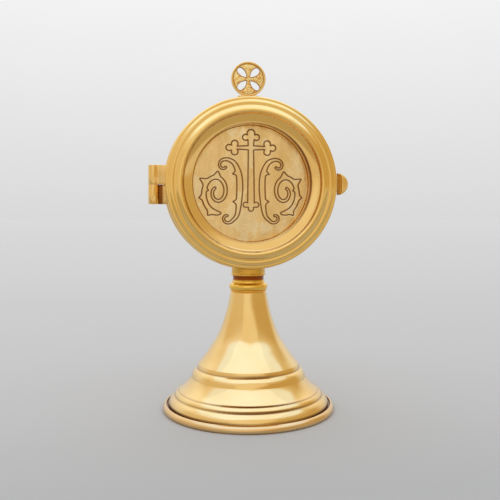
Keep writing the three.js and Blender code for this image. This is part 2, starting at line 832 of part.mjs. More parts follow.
function finialSaddle() {
  const foot = saddleLow - 0.5;
  const wingZ = finialZ - FINIAL_RADIUS + 1.6;
  const outline = new THREE.Shape();
  outline.moveTo(-SADDLE_HALF_WIDTH + 1.2, foot);
  outline.lineTo(SADDLE_HALF_WIDTH - 1.2, foot);
  outline.quadraticCurveTo(2.6, foot + 1.6, SADDLE_HALF_WIDTH, wingZ);
  outline.lineTo(-SADDLE_HALF_WIDTH, wingZ);
  outline.quadraticCurveTo(-2.6, foot + 1.6, -SADDLE_HALF_WIDTH + 1.2, foot);
  const block = plate(outline, -SADDLE_DEPTH / 2, SADDLE_DEPTH / 2, 5);
  const cradle = crossPin(FINIAL_RADIUS + RUN, -5, 5, NARROW).translate(0, 0, finialZ);
  const drilled = post(FINIAL_PIN_RADIUS + FIT, 0, pinTop + 0.2, SMALL);
  return cut(block, cradle, drumCutter(caseRadius + SEAT), drilled);
}

function finialRing() {
  const half = FINIAL_RING_DEPTH / 2;
  const ease = 0.35;
  return turned(
    [
      point(ringInner, -half + ease),
      point(ringInner + ease, -half),
      point(FINIAL_RADIUS - ease, -half),
      point(FINIAL_RADIUS, -half + ease),
      point(FINIAL_RADIUS, half - ease),
      point(FINIAL_RADIUS - ease, half),
      point(ringInner + ease, half),
      point(ringInner, half - ease),
    ],
    NARROW,
  ).translate(0, 0, finialZ);
}

// One petal-shaped piercing on a diagonal of the cross, from a point near the middle to the rim.
function piercing(angle) {
  const outer = ringInner - PIERCING_BAND;
  const at = (along, across) =>
    new THREE.Vector2(
      along * Math.cos(angle) - across * Math.sin(angle),
      along * Math.sin(angle) + across * Math.cos(angle),
    );
  const hole = new THREE.Path();
  const sweep = (controlAlong, controlAcross, along, across) => {
    const control = at(controlAlong, controlAcross);
    const end = at(along, across);
    hole.quadraticCurveTo(control.x, control.y, end.x, end.y);
  };
  const half = PIERCING_HALF_WIDTH;
  const shoulder = 0.76 * outer;
  const corner = 0.975 * outer;
  const start = at(PIERCING_INNER, 0);
  hole.moveTo(start.x, start.y);
  sweep(0.42 * outer, -half, shoulder, -half);
  sweep(0.91 * outer, -half, corner, -0.22 * outer);
  sweep(1.025 * outer, 0, corner, 0.22 * outer);
  sweep(0.91 * outer, half, shoulder, half);
  sweep(0.42 * outer, half, PIERCING_INNER, 0);
  return hole;
}

function finialCross() {
  const disc = new THREE.Shape();
  disc.absarc(0, 0, ringInner - FIT, 0, 2 * Math.PI, false);
  for (let quarter = 0; quarter < 4; quarter += 1) {
    disc.holes.push(piercing(Math.PI / 4 + (quarter * Math.PI) / 2));
  }
  const half = FINIAL_CROSS_DEPTH / 2;
  return plate(disc, -half, half, SMALL / 2).translate(0, 0, finialZ);
}

const finialNutTop = drumInner - SEAT;
const finialNutLow = finialNutTop - FINIAL_NUT_HEIGHT;

function finialNut() {
  const hole = post(FINIAL_PIN_RADIUS + FIT, finialNutLow - 1, finialNutTop + 1, SMALL);
  return cut(hexagon(FINIAL_NUT_FLATS, finialNutLow, finialNutTop), hole);
}

caseGroup.add(
  piece("finial_saddle", finialSaddle(), polished),
  piece("finial_ring", finialRing(), polished),
  piece("finial_cross", finialCross(), satin),
  piece("finial_stud", post(FINIAL_PIN_RADIUS, finialNutLow - 0.8, pinTop, SMALL), satin),
  piece("finial_nut", finialNut(), satin),
);

export default custodial;
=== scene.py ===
# Host custodial: a round gilt case on a turned foot. It is built here as the real one is put
# together, from the foot up: foot, neck, case, host holder, door, hinge, catch and finial.
# Shapes are given in millimetres, and the studio in metres.

import math

import bmesh
import bpy
import numpy as np
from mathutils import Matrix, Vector
from mathutils.geometry import delaunay_2d_cdt


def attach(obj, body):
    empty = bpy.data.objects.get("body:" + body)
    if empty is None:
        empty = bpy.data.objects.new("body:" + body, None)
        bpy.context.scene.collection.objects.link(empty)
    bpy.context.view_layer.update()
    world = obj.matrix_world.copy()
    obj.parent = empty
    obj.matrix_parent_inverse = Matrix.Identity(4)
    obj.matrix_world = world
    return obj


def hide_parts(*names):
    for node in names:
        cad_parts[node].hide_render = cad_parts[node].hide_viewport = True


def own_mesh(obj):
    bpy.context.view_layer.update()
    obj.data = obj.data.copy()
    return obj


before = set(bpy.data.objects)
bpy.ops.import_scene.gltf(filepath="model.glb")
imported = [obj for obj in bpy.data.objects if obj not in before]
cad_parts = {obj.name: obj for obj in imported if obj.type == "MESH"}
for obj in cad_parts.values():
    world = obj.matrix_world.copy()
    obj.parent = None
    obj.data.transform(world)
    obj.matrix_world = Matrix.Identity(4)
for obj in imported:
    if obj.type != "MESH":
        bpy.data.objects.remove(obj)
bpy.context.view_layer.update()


# Studio: a level camera a little above the middle of the piece, a wide pale floor that runs up
# into a pale wall, a warm room round and behind the camera, and one wide soft lamp overhead.

EYE_LEFT, EYE_BACK, EYE_HEIGHT, EYE_TURN = 0.04725, 0.3428, 0.10246, 8
eye = bpy.data.cameras.new("eye")
eye.lens = 46.08
eye.sensor_width = 36
eye.shift_y = -0.066
eye.clip_start = 0.01
eye.clip_end = 200
camera = bpy.data.objects.new("camera", eye)
camera.location = (-EYE_LEFT, -EYE_BACK, EYE_HEIGHT)
camera.rotation_euler = (math.pi / 2, 0, math.radians(-EYE_TURN))
bpy.context.collection.objects.link(camera)
bpy.context.scene.camera = camera
bpy.context.scene.view_settings.view_transform = "Standard"


def step(tree, kind, settings=None, **values):
    """One node of a finish. A value that is a socket is linked, any other is set. A name such as _1
    stands for the second input."""
    made = tree.nodes.new(kind)
    for key, value in (settings or {}).items():
        setattr(made, key, value)
    for key, value in values.items():
        socket = made.inputs[int(key[1:])] if key[0] == "_" else made.inputs[key.replace("_", " ")]
        if isinstance(value, bpy.types.NodeSocket):
            tree.links.new(value, socket)
        else:
            socket.default_value = value
    return made


def between(tree, amount, low, high):
    """A colour between two, by an amount from 0 to 1."""
    mixed = step(tree, "ShaderNodeMix", {"data_type": "RGBA"})
    colour_low, colour_high = mixed.inputs[6], mixed.inputs[7]
    for socket, value in ((mixed.inputs[0], amount), (colour_low, low), (colour_high, high)):
        if isinstance(value, bpy.types.NodeSocket):
            tree.links.new(value, socket)
        elif isinstance(value, tuple):
            socket.default_value = (*value, 1)
        else:
            socket.default_value = value
    return mixed.outputs[2]


def spread(tree, value, low, high, to_low=0.0, to_high=1.0, soft=True):
    """A value moved from one range into another, and held at its ends."""
    kind = "SMOOTHSTEP" if soft else "LINEAR"
    made = step(tree, "ShaderNodeMapRange", {"interpolation_type": kind}, Value=value)
    for socket, number in zip(made.inputs[1:5], (low, high, to_low, to_high)):
        socket.default_value = number
    return made.outputs[0]


def work(tree, operation, a, b=0.0, c=0.0):
    """Plain arithmetic on one to three values."""
    return step(tree, "ShaderNodeMath", {"operation": operation}, _0=a, _1=b, _2=c).outputs[0]


WALL_LOW, WALL_HIGH, WALL_TOP = (0.697, 0.697, 0.697), (0.905, 0.905, 0.905), (1.05, 1.05, 1.05)
ROOM_LEFT, ROOM_RIGHT, ROOM_MIDDLE = (0.75, 0.65, 0.49), (0.60, 0.46, 0.23), (0.89, 0.82, 0.68)
UPPER_LEFT, UPPER_RIGHT, CEILING = (0.92, 0.87, 0.83), (0.76, 0.68, 0.50), (0.96, 1.14, 1.56)

room = bpy.data.worlds.new("room")
bpy.context.scene.world = room
room.use_nodes = True
air = room.node_tree
air.nodes.clear()
look = step(air, "ShaderNodeTexCoord").outputs["Generated"]
across, away, up = step(air, "ShaderNodeSeparateXYZ", Vector=look).outputs

# The heading of each direction, whatever its height: side is to the right, rear is to the wall.
flat = work(air, "SQRT", work(air, "MULTIPLY_ADD", work(air, "MULTIPLY", up, up), -1.0, 1.0001))
side = work(air, "DIVIDE", across, flat)
rear = work(air, "DIVIDE", away, flat)
off_middle = work(air, "ABSOLUTE", side)

wall = between(air, spread(air, up, 0.0, 0.33, soft=False), WALL_LOW, WALL_HIGH)
wall = between(air, spread(air, up, 0.33, 0.6), wall, WALL_TOP)
warm = between(air, spread(air, side, -0.12, 0.42), ROOM_LEFT, ROOM_RIGHT)
upper = between(air, spread(air, side, -0.10, 0.50), UPPER_LEFT, UPPER_RIGHT)
warm = between(air, spread(air, up, 0.38, 0.66), warm, upper)
tilt = work(air, "MULTIPLY_ADD", side, -0.47, up)
middle = work(air, "MULTIPLY", spread(air, tilt, 0.06, 0.34), spread(air, off_middle, 0.64, 0.46))
middle = work(air, "MULTIPLY", middle, spread(air, rear, 0.1, -0.3))
warm = between(air, middle, warm, ROOM_MIDDLE)
around = between(air, spread(air, rear, 0.22, 0.66), warm, wall)
above = work(air, "MULTIPLY_ADD", off_middle, 0.15, up)
above = work(air, "MULTIPLY_ADD", spread(air, rear, -0.05, 0.45), -0.09, above)
around = between(air, spread(air, above, 0.73, 0.84), around, CEILING)
glow = step(air, "ShaderNodeBackground", Color=around, Strength=1.0)
air.links.new(glow.outputs[0], step(air, "ShaderNodeOutputWorld").inputs[0])

LAMP_SIZE, LAMP_GLOW, LAMP_HEIGHT = (1.9, 1.8), 0.15, 1.3
light = bpy.data.lights.new("ceiling", "AREA")
light.shape = "RECTANGLE"
light.size, light.size_y = LAMP_SIZE
light.energy = LAMP_GLOW * math.pi * LAMP_SIZE[0] * LAMP_SIZE[1]
light.color = (0.84, 0.90, 1.0)
lamp = bpy.data.objects.new("ceiling", light)
lamp.location = (-0.10, -0.20, LAMP_HEIGHT)
lamp.rotation_euler = Vector((0, 0, -LAMP_HEIGHT)).to_track_quat("-Z", "Y").to_euler()
bpy.context.collection.objects.link(lamp)

# Painted floor: greyer and darker towards the camera, and tan from just in front of the piece,
# where only the gilding mirrors it. near is 0 at the horizon and grows down the picture.
FLOOR_FAR, FLOOR_MIDDLE, FLOOR_NEAR = (0.789, 0.740, 0.645), (0.659, 0.619, 0.539), (0.505, 0.480, 0.421)
TAN_NEAR, TAN_FAR, DUST = (0.53, 0.41, 0.21), (0.80, 0.67, 0.46), (0.45, 0.45, 0.45)
FLOOR_RADIUS, FLOOR_SIDES, NEAR_AT_ONE_METRE = 30, 96, 0.0656

floor_mesh = bpy.data.meshes.new("floor")
floor_turn = [math.tau * i / FLOOR_SIDES for i in range(FLOOR_SIDES)]
floor_mesh.from_pydata([(FLOOR_RADIUS * math.cos(a), FLOOR_RADIUS * math.sin(a), 0) for a in floor_turn],
                       [], [tuple(range(FLOOR_SIDES))])
paint = bpy.data.materials.new("floor_paint")
paint.use_nodes = True
tree = paint.node_tree
tree.nodes.clear()
spot = step(tree, "ShaderNodeTexCoord").outputs["Object"]
depth = step(tree, "ShaderNodeSeparateXYZ", Vector=spot).outputs[1]
from_eye = work(tree, "MAXIMUM", work(tree, "ADD", depth, EYE_BACK), 0.22)
near = work(tree, "DIVIDE", NEAR_AT_ONE_METRE, from_eye)
grain = step(tree, "ShaderNodeTexNoise", Vector=spot, Scale=90.0, Detail=3.0).outputs[0]
tone = between(tree, spread(tree, near, 0.0, 0.083, soft=False), FLOOR_FAR, FLOOR_MIDDLE)
tone = between(tree, spread(tree, near, 0.083, 0.283, soft=False), tone, FLOOR_NEAR)
tone = between(tree, spread(tree, depth, -0.118, -0.20), tone, TAN_NEAR)
tone = between(tree, spread(tree, depth, -0.48, -0.75), tone, TAN_FAR)
tone = between(tree, work(tree, "MULTIPLY", grain, 0.04), tone, DUST)
chalk = step(tree, "ShaderNodeBsdfDiffuse", Color=tone)
tree.links.new(chalk.outputs[0], step(tree, "ShaderNodeOutputMaterial").inputs[0])
floor_mesh.materials.append(paint)
floor = bpy.data.objects.new("floor", floor_mesh)
bpy.context.collection.objects.link(floor)


# Foot rim: a solid half-round ring, turned from brass, gilt and lacquered, on which the whole
# foot stands. The shell sits in it with a narrow groove left all round.

def gilt(name, colour, deep, gloss, haze, lacquer, marks, relief, drawn=0.0):
    """Gilding over turned brass: drifting colour, tool marks, hairline scratches, and brown in the
    hollows, partly residue and partly painted shade.

    deep is that brown, gloss the least roughness and haze what clouds it in patches. lacquer is the
    clear coat, marks is how the surface was worked, relief how far that shows, and drawn how much
    the marks stretch the highlights."""
    made = bpy.data.materials.new(name)
    made.use_nodes = True
    tree = made.node_tree
    tree.nodes.clear()
    place = step(tree, "ShaderNodeTexCoord").outputs["Object"]
    along = step(tree, "ShaderNodeVectorMath", {"operation": "SCALE"}, _0=place, Scale=1000.0).outputs[0]
    x, y, z = step(tree, "ShaderNodeSeparateXYZ", Vector=along).outputs
    drift = step(tree, "ShaderNodeTexNoise", Vector=along, Scale=0.045, Detail=3.0).outputs[0]
    cloud = step(tree, "ShaderNodeTexNoise", Vector=along, Scale=0.16, Detail=4.0, Roughness=0.6)
    speck = step(tree, "ShaderNodeTexNoise", Vector=along, Scale=2.6, Detail=2.0).outputs[0]
    hollow = step(tree, "ShaderNodeAttribute", {"attribute_name": "hollow"}).outputs["Fac"]
    ruddy = tuple(c * k for c, k in zip(colour, (0.97, 0.90, 0.78)))
    tone = between(tree, spread(tree, drift, 0.35, 0.7), colour, ruddy)
    # Painted shade: the hollows are browned and mottled by the specks, partly as residue and partly in
    # place of shade.
    residue_and_shade = work(tree, "MULTIPLY", hollow, spread(tree, speck, 0.15, 0.6, 0.7, 1.0))
    tone = between(tree, spread(tree, residue_and_shade, 0.12, 0.9), tone, deep)
    if marks == "brushed":
        # Two lays of brush strokes, and patches that were polished paler with a wandering hand.
        dull = tuple(c * k for c, k in zip(colour, (0.92, 0.88, 0.80)))
        for turn, size in ((0.12, (0.55, 1.0, 0.09)), (-0.5, (0.30, 1.0, 0.10))):
            way = step(tree, "ShaderNodeMapping", Vector=along, Rotation=(0.0, turn, 0.0), Scale=size)
            streak = step(tree, "ShaderNodeTexNoise", Vector=way.outputs[0], Scale=1.0, Detail=3.0,
                          Roughness=0.65)
            tone = between(tree, spread(tree, streak.outputs[0], 0.36, 0.70), tone, dull)
        wander = step(tree, "ShaderNodeTexNoise", Vector=along, Scale=0.15, Detail=3.0).outputs["Color"]
        way = step(tree, "ShaderNodeVectorMath", {"operation": "MULTIPLY_ADD"},
                   _0=wander, _1=(10.0, 0.0, 14.0), _2=along).outputs[0]
        way = step(tree, "ShaderNodeMapping", Vector=way, Rotation=(0.0, 0.25, 0.0),
                   Scale=(0.19, 0.01, 0.09))
        facet = step(tree, "ShaderNodeTexVoronoi", Vector=way.outputs[0], Scale=1.0).outputs["Color"]
        facet = step(tree, "ShaderNodeSeparateXYZ", Vector=facet).outputs[0]
        tone = between(tree, spread(tree, facet, 0.35, 1.0, 0.0, 0.75), tone, (1.0, 0.86, 0.60))
        tone = between(tree, spread(tree, residue_and_shade, 0.12, 0.9), tone, deep)
    if marks == "turned":
        rings = step(tree, "ShaderNodeCombineXYZ", X=x, Y=0.0, Z=z).outputs[0]
        out = step(tree, "ShaderNodeVectorMath", {"operation": "LENGTH"}, _0=rings).outputs["Value"]
        groove = step(tree, "ShaderNodeCombineXYZ", X=out, Y=y, Z=0.0).outputs[0]
    elif marks == "upright":
        rings = step(tree, "ShaderNodeCombineXYZ", X=x, Y=y, Z=0.0).outputs[0]
        out = step(tree, "ShaderNodeVectorMath", {"operation": "LENGTH"}, _0=rings).outputs["Value"]
        groove = step(tree, "ShaderNodeCombineXYZ", X=out, Y=z, Z=0.0).outputs[0]
    else:
        groove = step(tree, "ShaderNodeMapping", Vector=along, Scale=(0.06, 1.0, 1.0)).outputs[0]
    lathe = step(tree, "ShaderNodeTexNoise", Vector=groove, Scale=1.6, Detail=2.0, Roughness=0.6)
    hair = None
    for turn in ((0.3, 0.5, 0.9), (1.2, 0.2, -0.6), (0.7, -0.4, 2.1)):
        fine = step(tree, "ShaderNodeMapping", Vector=along, Rotation=turn, Scale=(0.07, 2.4, 2.4))
        line = step(tree, "ShaderNodeTexNoise", Vector=fine.outputs[0], Scale=1.0, Detail=1.0).outputs[0]
        line = spread(tree, line, 0.70, 0.78)
        hair = line if hair is None else work(tree, "MAXIMUM", hair, line)
    rough = work(tree, "MULTIPLY_ADD", spread(tree, cloud.outputs[0], 0.4, 0.75), haze, gloss)
    rough = work(tree, "MULTIPLY_ADD", hair, 0.06, rough)
    rough = work(tree, "MULTIPLY_ADD", spread(tree, residue_and_shade, 0.1, 0.9), 0.25, rough)
    height = work(tree, "MULTIPLY_ADD", hair, -0.5, lathe.outputs[0])
    height = work(tree, "MULTIPLY_ADD", speck, 0.25, height)
    if marks == "stippled":
        dots = step(tree, "ShaderNodeTexNoise", Vector=along, Scale=0.85, Detail=1.0).outputs[0]
        tone = between(tree, spread(tree, dots, 0.38, 0.56), tone, (1.0, 0.82, 0.42))
        tone = between(tree, spread(tree, dots, 0.46, 0.34), tone, (0.80, 0.42, 0.11))
        punch = step(tree, "ShaderNodeTexVoronoi", Vector=along, Scale=1.25).outputs["Distance"]
        height = work(tree, "MULTIPLY_ADD", punch, 5.0, height)
    skin = step(tree, "ShaderNodeBump", Height=height, Strength=relief, Distance=0.00002)
    if marks == "brushed":
        wave = step(tree, "ShaderNodeTexNoise", Vector=way.outputs[0], Scale=0.45, Detail=1.0,
                    Roughness=0.3)
        wave = step(tree, "ShaderNodeBump", Height=wave.outputs[0], Strength=1.0, Distance=0.0012)
        tree.links.new(wave.outputs[0], skin.inputs["Normal"])
    metal = step(tree, "ShaderNodeBsdfPrincipled", Base_Color=tone, Roughness=rough, Metallic=1.0,
                 Coat_Weight=lacquer, Coat_Roughness=0.03, Coat_IOR=1.5, Normal=skin.outputs[0],
                 Anisotropic=drawn, Anisotropic_Rotation=0.25 if drawn else 0.0)
    if drawn:
        round_y = step(tree, "ShaderNodeTangent", {"direction_type": "RADIAL", "axis": "Y"}).outputs[0]
        tree.links.new(round_y, metal.inputs["Tangent"])
    tree.links.new(metal.outputs[0], step(tree, "ShaderNodeOutputMaterial").inputs[0])
    return made


def lerp(a, b, t):
    return tuple(p + (q - p) * t for p, q in zip(a, b))


def bent(*through, steps=12):
    """Points on a bent line with two, three or four guide points."""
    run = []
    for i in range(steps + 1):
        row = list(through)
        while len(row) > 1:
            row = [lerp(p, q, i / steps) for p, q in zip(row, row[1:])]
        run.append(row[0])
    return run


def softened(outline, size):
    """The outline with each sharp corner eased a little, as polishing leaves it."""
    run = []
    for i, corner in enumerate(outline):
        before, after = outline[i - 1], outline[(i + 1) % len(outline)]
        a, b = Vector(before) - Vector(corner), Vector(after) - Vector(corner)
        if a.length < 1e-6 or b.length < 1e-6:
            continue
        if corner[0] < 1e-6 or math.pi - a.angle(b) < math.radians(18):
            run.append(tuple(corner))
            continue
        cut = min(size, 0.4 * a.length, 0.4 * b.length)
        first, last = Vector(corner) + a.normalized() * cut, Vector(corner) + b.normalized() * cut
        run += bent(tuple(first), tuple(corner), tuple(last), steps=4)
    return run


def hollows(outline, reach=1.1):
    """How deep in a hollow each point of a closed outline lies, from 0 to 1."""
    points = [Vector(p) for p in outline]
    count = len(points)
    turns, lengths = [], []
    for i, here in enumerate(points):
        a, b = here - points[i - 1], points[(i + 1) % count] - here
        turns.append(math.atan2(a.x * b.y - a.y * b.x, a.dot(b)))
        lengths.append(b.length)
    side = 1 if sum(turns) > 0 else -1
    depth = []
    for i in range(count):
        total = max(0.0, -side * turns[i])
        for way in (1, -1):
            gone, k = 0.0, i
            while gone < reach:
                gone += lengths[k] if way > 0 else lengths[k - 1]
                k = (k + way) % count
                if gone < reach:
                    total += max(0.0, -side * turns[k]) * (1 - gone / reach)
                if k == i:
                    break
        depth.append(min(1.0, total / math.radians(75)))
    return depth


def finished(name, verts, faces, finish, hollow=None, sharp=32, at=(0, 0, 0)):
    """A closed body in millimetres as a named object with smooth faces and crisp edges."""
    mesh = bpy.data.meshes.new(name)
    mesh.from_pydata([tuple(c / 1000 for c in v) for v in verts], [], faces)
    if hollow is not None:
        mesh.attributes.new("hollow", "FLOAT", "POINT").data.foreach_set("value", hollow)
    tidy = bmesh.new()
    tidy.from_mesh(mesh)
    bmesh.ops.remove_doubles(tidy, verts=tidy.verts, dist=1e-7)
    bmesh.ops.recalc_face_normals(tidy, faces=tidy.faces)
    tidy.to_mesh(mesh)
    tidy.free()
    mesh.shade_smooth()
    mesh.set_sharp_from_angle(angle=math.radians(sharp))
    mesh.materials.append(finish)
    made = bpy.data.objects.new(name, mesh)
    made.location = tuple(c / 1000 for c in at)
    bpy.context.collection.objects.link(made)
    return made


def lathe_body(outline, facing, steps):
    """Points and faces of a closed outline (radius, along) turned about Z, or about Y for the case."""
    verts, rows = [], []
    for radius, along in outline:
        count = 1 if radius < 1e-6 else steps
        rows.append(range(len(verts), len(verts) + count))
        for k in range(count):
            c, s = radius * math.cos(math.tau * k / steps), radius * math.sin(math.tau * k / steps)
            verts.append((c, s, along) if facing == "up" else (c, along, s))
    faces = []
    for low, high in zip(rows, rows[1:] + rows[:1]):
        if len(low) == 1 and len(high) == 1:
            continue
        for k in range(steps):
            n = (k + 1) % steps
            loop = [low[k % len(low)], low[n % len(low)], high[n % len(high)], high[k % len(high)]]
            faces.append(tuple(dict.fromkeys(loop)))
    return verts, faces, rows


def turned(name, outline, finish, facing="up", ease=0.2, steps=192, height=0.0, brown=0.3, stains_and_shade=()):
    """A piece turned on the lathe or spun over a former, facing up for the foot and front for the case.

    brown sets how far each point is browned by how deep in a hollow it lies, partly as residue and partly
    as painted shade.
    A stain is a dark brown line in a groove, partly residue and partly painted shade: radius, place along
    the axis, reach, strength, and then, where it is painted darker towards some headings only, its least
    share elsewhere, how soon it fades and the headings where it is darkest."""
    eased = softened(outline, ease)
    verts, faces, rows = lathe_body(eased, facing, steps)
    hollow = []
    for row, point, depth in zip(rows, eased, hollows(eased)):
        # Painted shade: each point is browned by how deep in a hollow it lies.
        shade = [brown * depth] * len(row)
        for radius, along, reach, strength, *heading_fade in stains_and_shade:
            line = strength * min(1.0, 1.6 - 1.6 * math.dist(point, (radius, along)) / reach)
            if line <= 0:
                continue
            for k in range(len(row)):
                left = 1.0
                # Painted shade: the line is kept darkest towards the given headings and fades away from
                # them.
                if heading_fade:
                    turn = max(math.cos(math.tau * k / steps - math.radians(h)) for h in heading_fade[2:])
                    left = heading_fade[0] + (1 - heading_fade[0]) * max(0.0, turn) ** heading_fade[1]
                shade[k] = max(shade[k], line * left)
        hollow += shade
    return finished(name, verts, faces, finish, hollow, at=(0, 0, height))


rim_gilt = gilt("rim_gilt", (0.83, 0.565, 0.265), (0.20, 0.075, 0.012), 0.10, 0.05, 0.35, "upright", 0.25)
RIM_INNER, RIM_TOP, RIM_SEAT = 41.2, 3.7, 2.6
# Painted shade: the hollows are browned, and the groove where the shell sits gets a dark line, darkest at
# the left and right sides.
foot_rim = turned(
    "rim_ring",
    [(RIM_INNER, 0), *bent((44.6, 0), (46.2, 0.3), (46.2, 2.3), (44.7, 3.4), steps=20),
     (44.0, RIM_TOP), (43.7, 3.4), (43.7, RIM_SEAT), (RIM_INNER, RIM_SEAT)],
    rim_gilt, ease=0.3, brown=0.7, stains_and_shade=[(43.5, 2.9, 0.9, 1.0, 0.5, 1.0, 0, 180)],
)
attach(foot_rim, "stand")
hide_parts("foot_rim")


# Foot shell: brass sheet spun over a former to four mouldings and a tall flared cone, then gilt
# and polished. It is open below, and its flat top is clamped under the neck.

def flowing(points, steps=10):
    """A smooth line through all the points."""
    ends = [points[0], *points, points[-1]]
    run = []
    for a, b, c, d in zip(ends, ends[1:], ends[2:], ends[3:]):
        for i in range(steps):
            t = i / steps
            run.append(tuple(
                0.5 * (2 * q + (r - p) * t + (2 * p - 5 * q + 4 * r - s) * t * t
                       + (3 * q - p - 3 * r + s) * t ** 3)
                for p, q, r, s in zip(a, b, c, d)
            ))
    return run + [points[-1]]


upright_gilt = gilt(
    "upright_gilt", (0.95, 0.68, 0.29), (0.22, 0.085, 0.012), 0.085, 0.05, 0.35, "upright", 0.25,
)
SHELL_EDGE, SHELL_WALL, SHELL_TOP, ROD_HOLE = 42.9, 1.0, 62.3, 2.6
shell_out = [
    *bent((SHELL_EDGE, RIM_SEAT), (42.59, 6.03), (39.84, 7.89), steps=16),
    *bent((39.64, 7.99), (39.02, 9.97), (37.09, 10.70), steps=14),
    *bent((36.88, 10.80), (33.72, 13.07), (31.38, 16.40), steps=16),
    *bent((30.76, 17.33), (29.90, 20.99), (27.70, 21.98), steps=14),
    *flowing([(26.89, 24.20), (23.78, 27.99), (20.26, 33.01), (16.54, 39.0), (13.72, 46.02),
              (11.36, 54.0), (9.7, SHELL_TOP)]),
]
shell_in = []
for i, (radius, height) in enumerate(shell_out):
    before, after = shell_out[max(i - 1, 0)], shell_out[min(i + 1, len(shell_out) - 1)]
    run = Vector((after[0] - before[0], after[1] - before[1])).normalized()
    inside = (radius - SHELL_WALL * run.y, height + SHELL_WALL * run.x)
    low = shell_in[-1][1] if shell_in else RIM_SEAT + 0.6
    if low + 0.12 < inside[1] < 60.8 and (not shell_in or inside[0] < shell_in[-1][0]):
        shell_in.append(inside)
# Painted shade: the hollows are browned, the three upper creases get dark lines kept darkest at the front
# and back, and the groove over the rim gets one kept darkest at the left and right.
foot_shell = turned(
    "shell_cone",
    [(SHELL_EDGE - SHELL_WALL, RIM_SEAT), *shell_out, (ROD_HOLE, SHELL_TOP), (ROD_HOLE, 61.3), (8.7, 61.3),
     *reversed(shell_in)],
    upright_gilt, ease=0.18, brown=0.6,
    stains_and_shade=[(27.6, 22.5, 1.3, 0.95, 0.55, 14, -90, 90), (37.4, 10.6, 1.0, 1.0, 0.45, 6, -90, 90),
            (39.6, 8.2, 1.2, 0.95, 0.45, 6, -90, 90), (42.8, 3.3, 1.7, 1.0, 0.55, 1.0, 0, 180)],
)
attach(foot_shell, "stand")
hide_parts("foot_shell")


# Neck: a ring with a full roll, a waisted spool and a short collar, three turned brass pieces
# threaded on the rod. The collar's top is cut to the round of the case and its front rim.

def rounded(across, along, size, start, end, steps=14):
    """Points on a round moulding, its angles in degrees from the outward side."""
    turn = [math.radians(start + (end - start) * i / steps) for i in range(steps + 1)]
    return [(across + size * math.cos(a), along + size * math.sin(a)) for a in turn]


RING_TOP, SPOOL_TOP, COLLAR_STEPS = 67.3, 71.2, 128
# Painted shade: the neck and the thumb take a browner, more saturated copy of the gilding, which paints
# the darker reflections seen on them.
shaded_neck_gilt = gilt("shaded_neck_gilt", (0.96, 0.63, 0.13), (0.30, 0.065, 0.004), 0.10, 0.05, 0.15, "upright", 0.25)
neck_ring = turned(
    "ring_roll",
    [(ROD_HOLE, SHELL_TOP), (9.3, SHELL_TOP), (9.3, 62.7), (9.9, 63.0), (9.9, 63.5),
     *rounded(8.3, 65.2, 2.1, -55, 75), (8.7, RING_TOP), (ROD_HOLE, RING_TOP)],
    shaded_neck_gilt, ease=0.12,
)
# Painted shade: a dark brown band round the waist of the spool.
neck_spool = turned(
    "spool_waist",
    [(ROD_HOLE, RING_TOP), (8.7, RING_TOP), (8.7, 67.8), *bent((8.6, 68.2), (8.0, 69.2), (8.4, SPOOL_TOP)),
     (ROD_HOLE, SPOOL_TOP)],
    shaded_neck_gilt, ease=0.12, stains_and_shade=[(8.2, 70.2, 2.3, 0.95)],
)
for piece, node in ((neck_ring, "neck_ring"), (neck_spool, "neck_spool")):
    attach(piece, "stand")
    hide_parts(node)

CASE_Z, CASE_RADIUS, CASE_RIM_RADIUS, RIM_BACK = 120.1, 43.2, 45.3, -5.3
collar_profile = [(9.1, SPOOL_TOP), (9.3, 71.6), (9.2, 72.2), (9.0, 72.5), (9.0, 73.5), (9.0, 74.5)]
collar_outline = [(ROD_HOLE, SPOOL_TOP), *softened(collar_profile, 0.1)[1:], (9.0, 99.0), (ROD_HOLE, 99.0)]
collar_verts, collar_faces = [], []
for radius, height in collar_outline:
    for k in range(COLLAR_STEPS):
        x = radius * math.cos(math.tau * k / COLLAR_STEPS)
        y = radius * math.sin(math.tau * k / COLLAR_STEPS)
        reach = CASE_RIM_RADIUS if y < RIM_BACK + 0.3 else CASE_RADIUS
        under = CASE_Z - math.sqrt((reach + 0.1) ** 2 - x * x)
        collar_verts.append((x, y, min(height, under)))
rows = len(collar_verts) // COLLAR_STEPS
for r in range(rows):
    for k in range(COLLAR_STEPS):
        n, q = (k + 1) % COLLAR_STEPS, (r + 1) % rows
        low, high = r * COLLAR_STEPS, q * COLLAR_STEPS
        collar_faces.append((low + k, low + n, high + n, high + k))
# Painted shade: the whole collar is browned evenly.
case_collar = finished("collar_flare", collar_verts, collar_faces, shaded_neck_gilt, [0.40] * len(collar_verts))
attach(case_collar, "stand")
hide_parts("case_collar")


# Rod, washer and nut: a threaded rod runs up through the neck into the case, and a hexagon nut
# on a washer under the top of the cone pulls foot, neck and case together. Plain satin brass.

satin_gilt = gilt("satin_gilt", (0.90, 0.70, 0.38), (0.20, 0.10, 0.03), 0.34, 0.10, 0.10, "flat", 0.8)


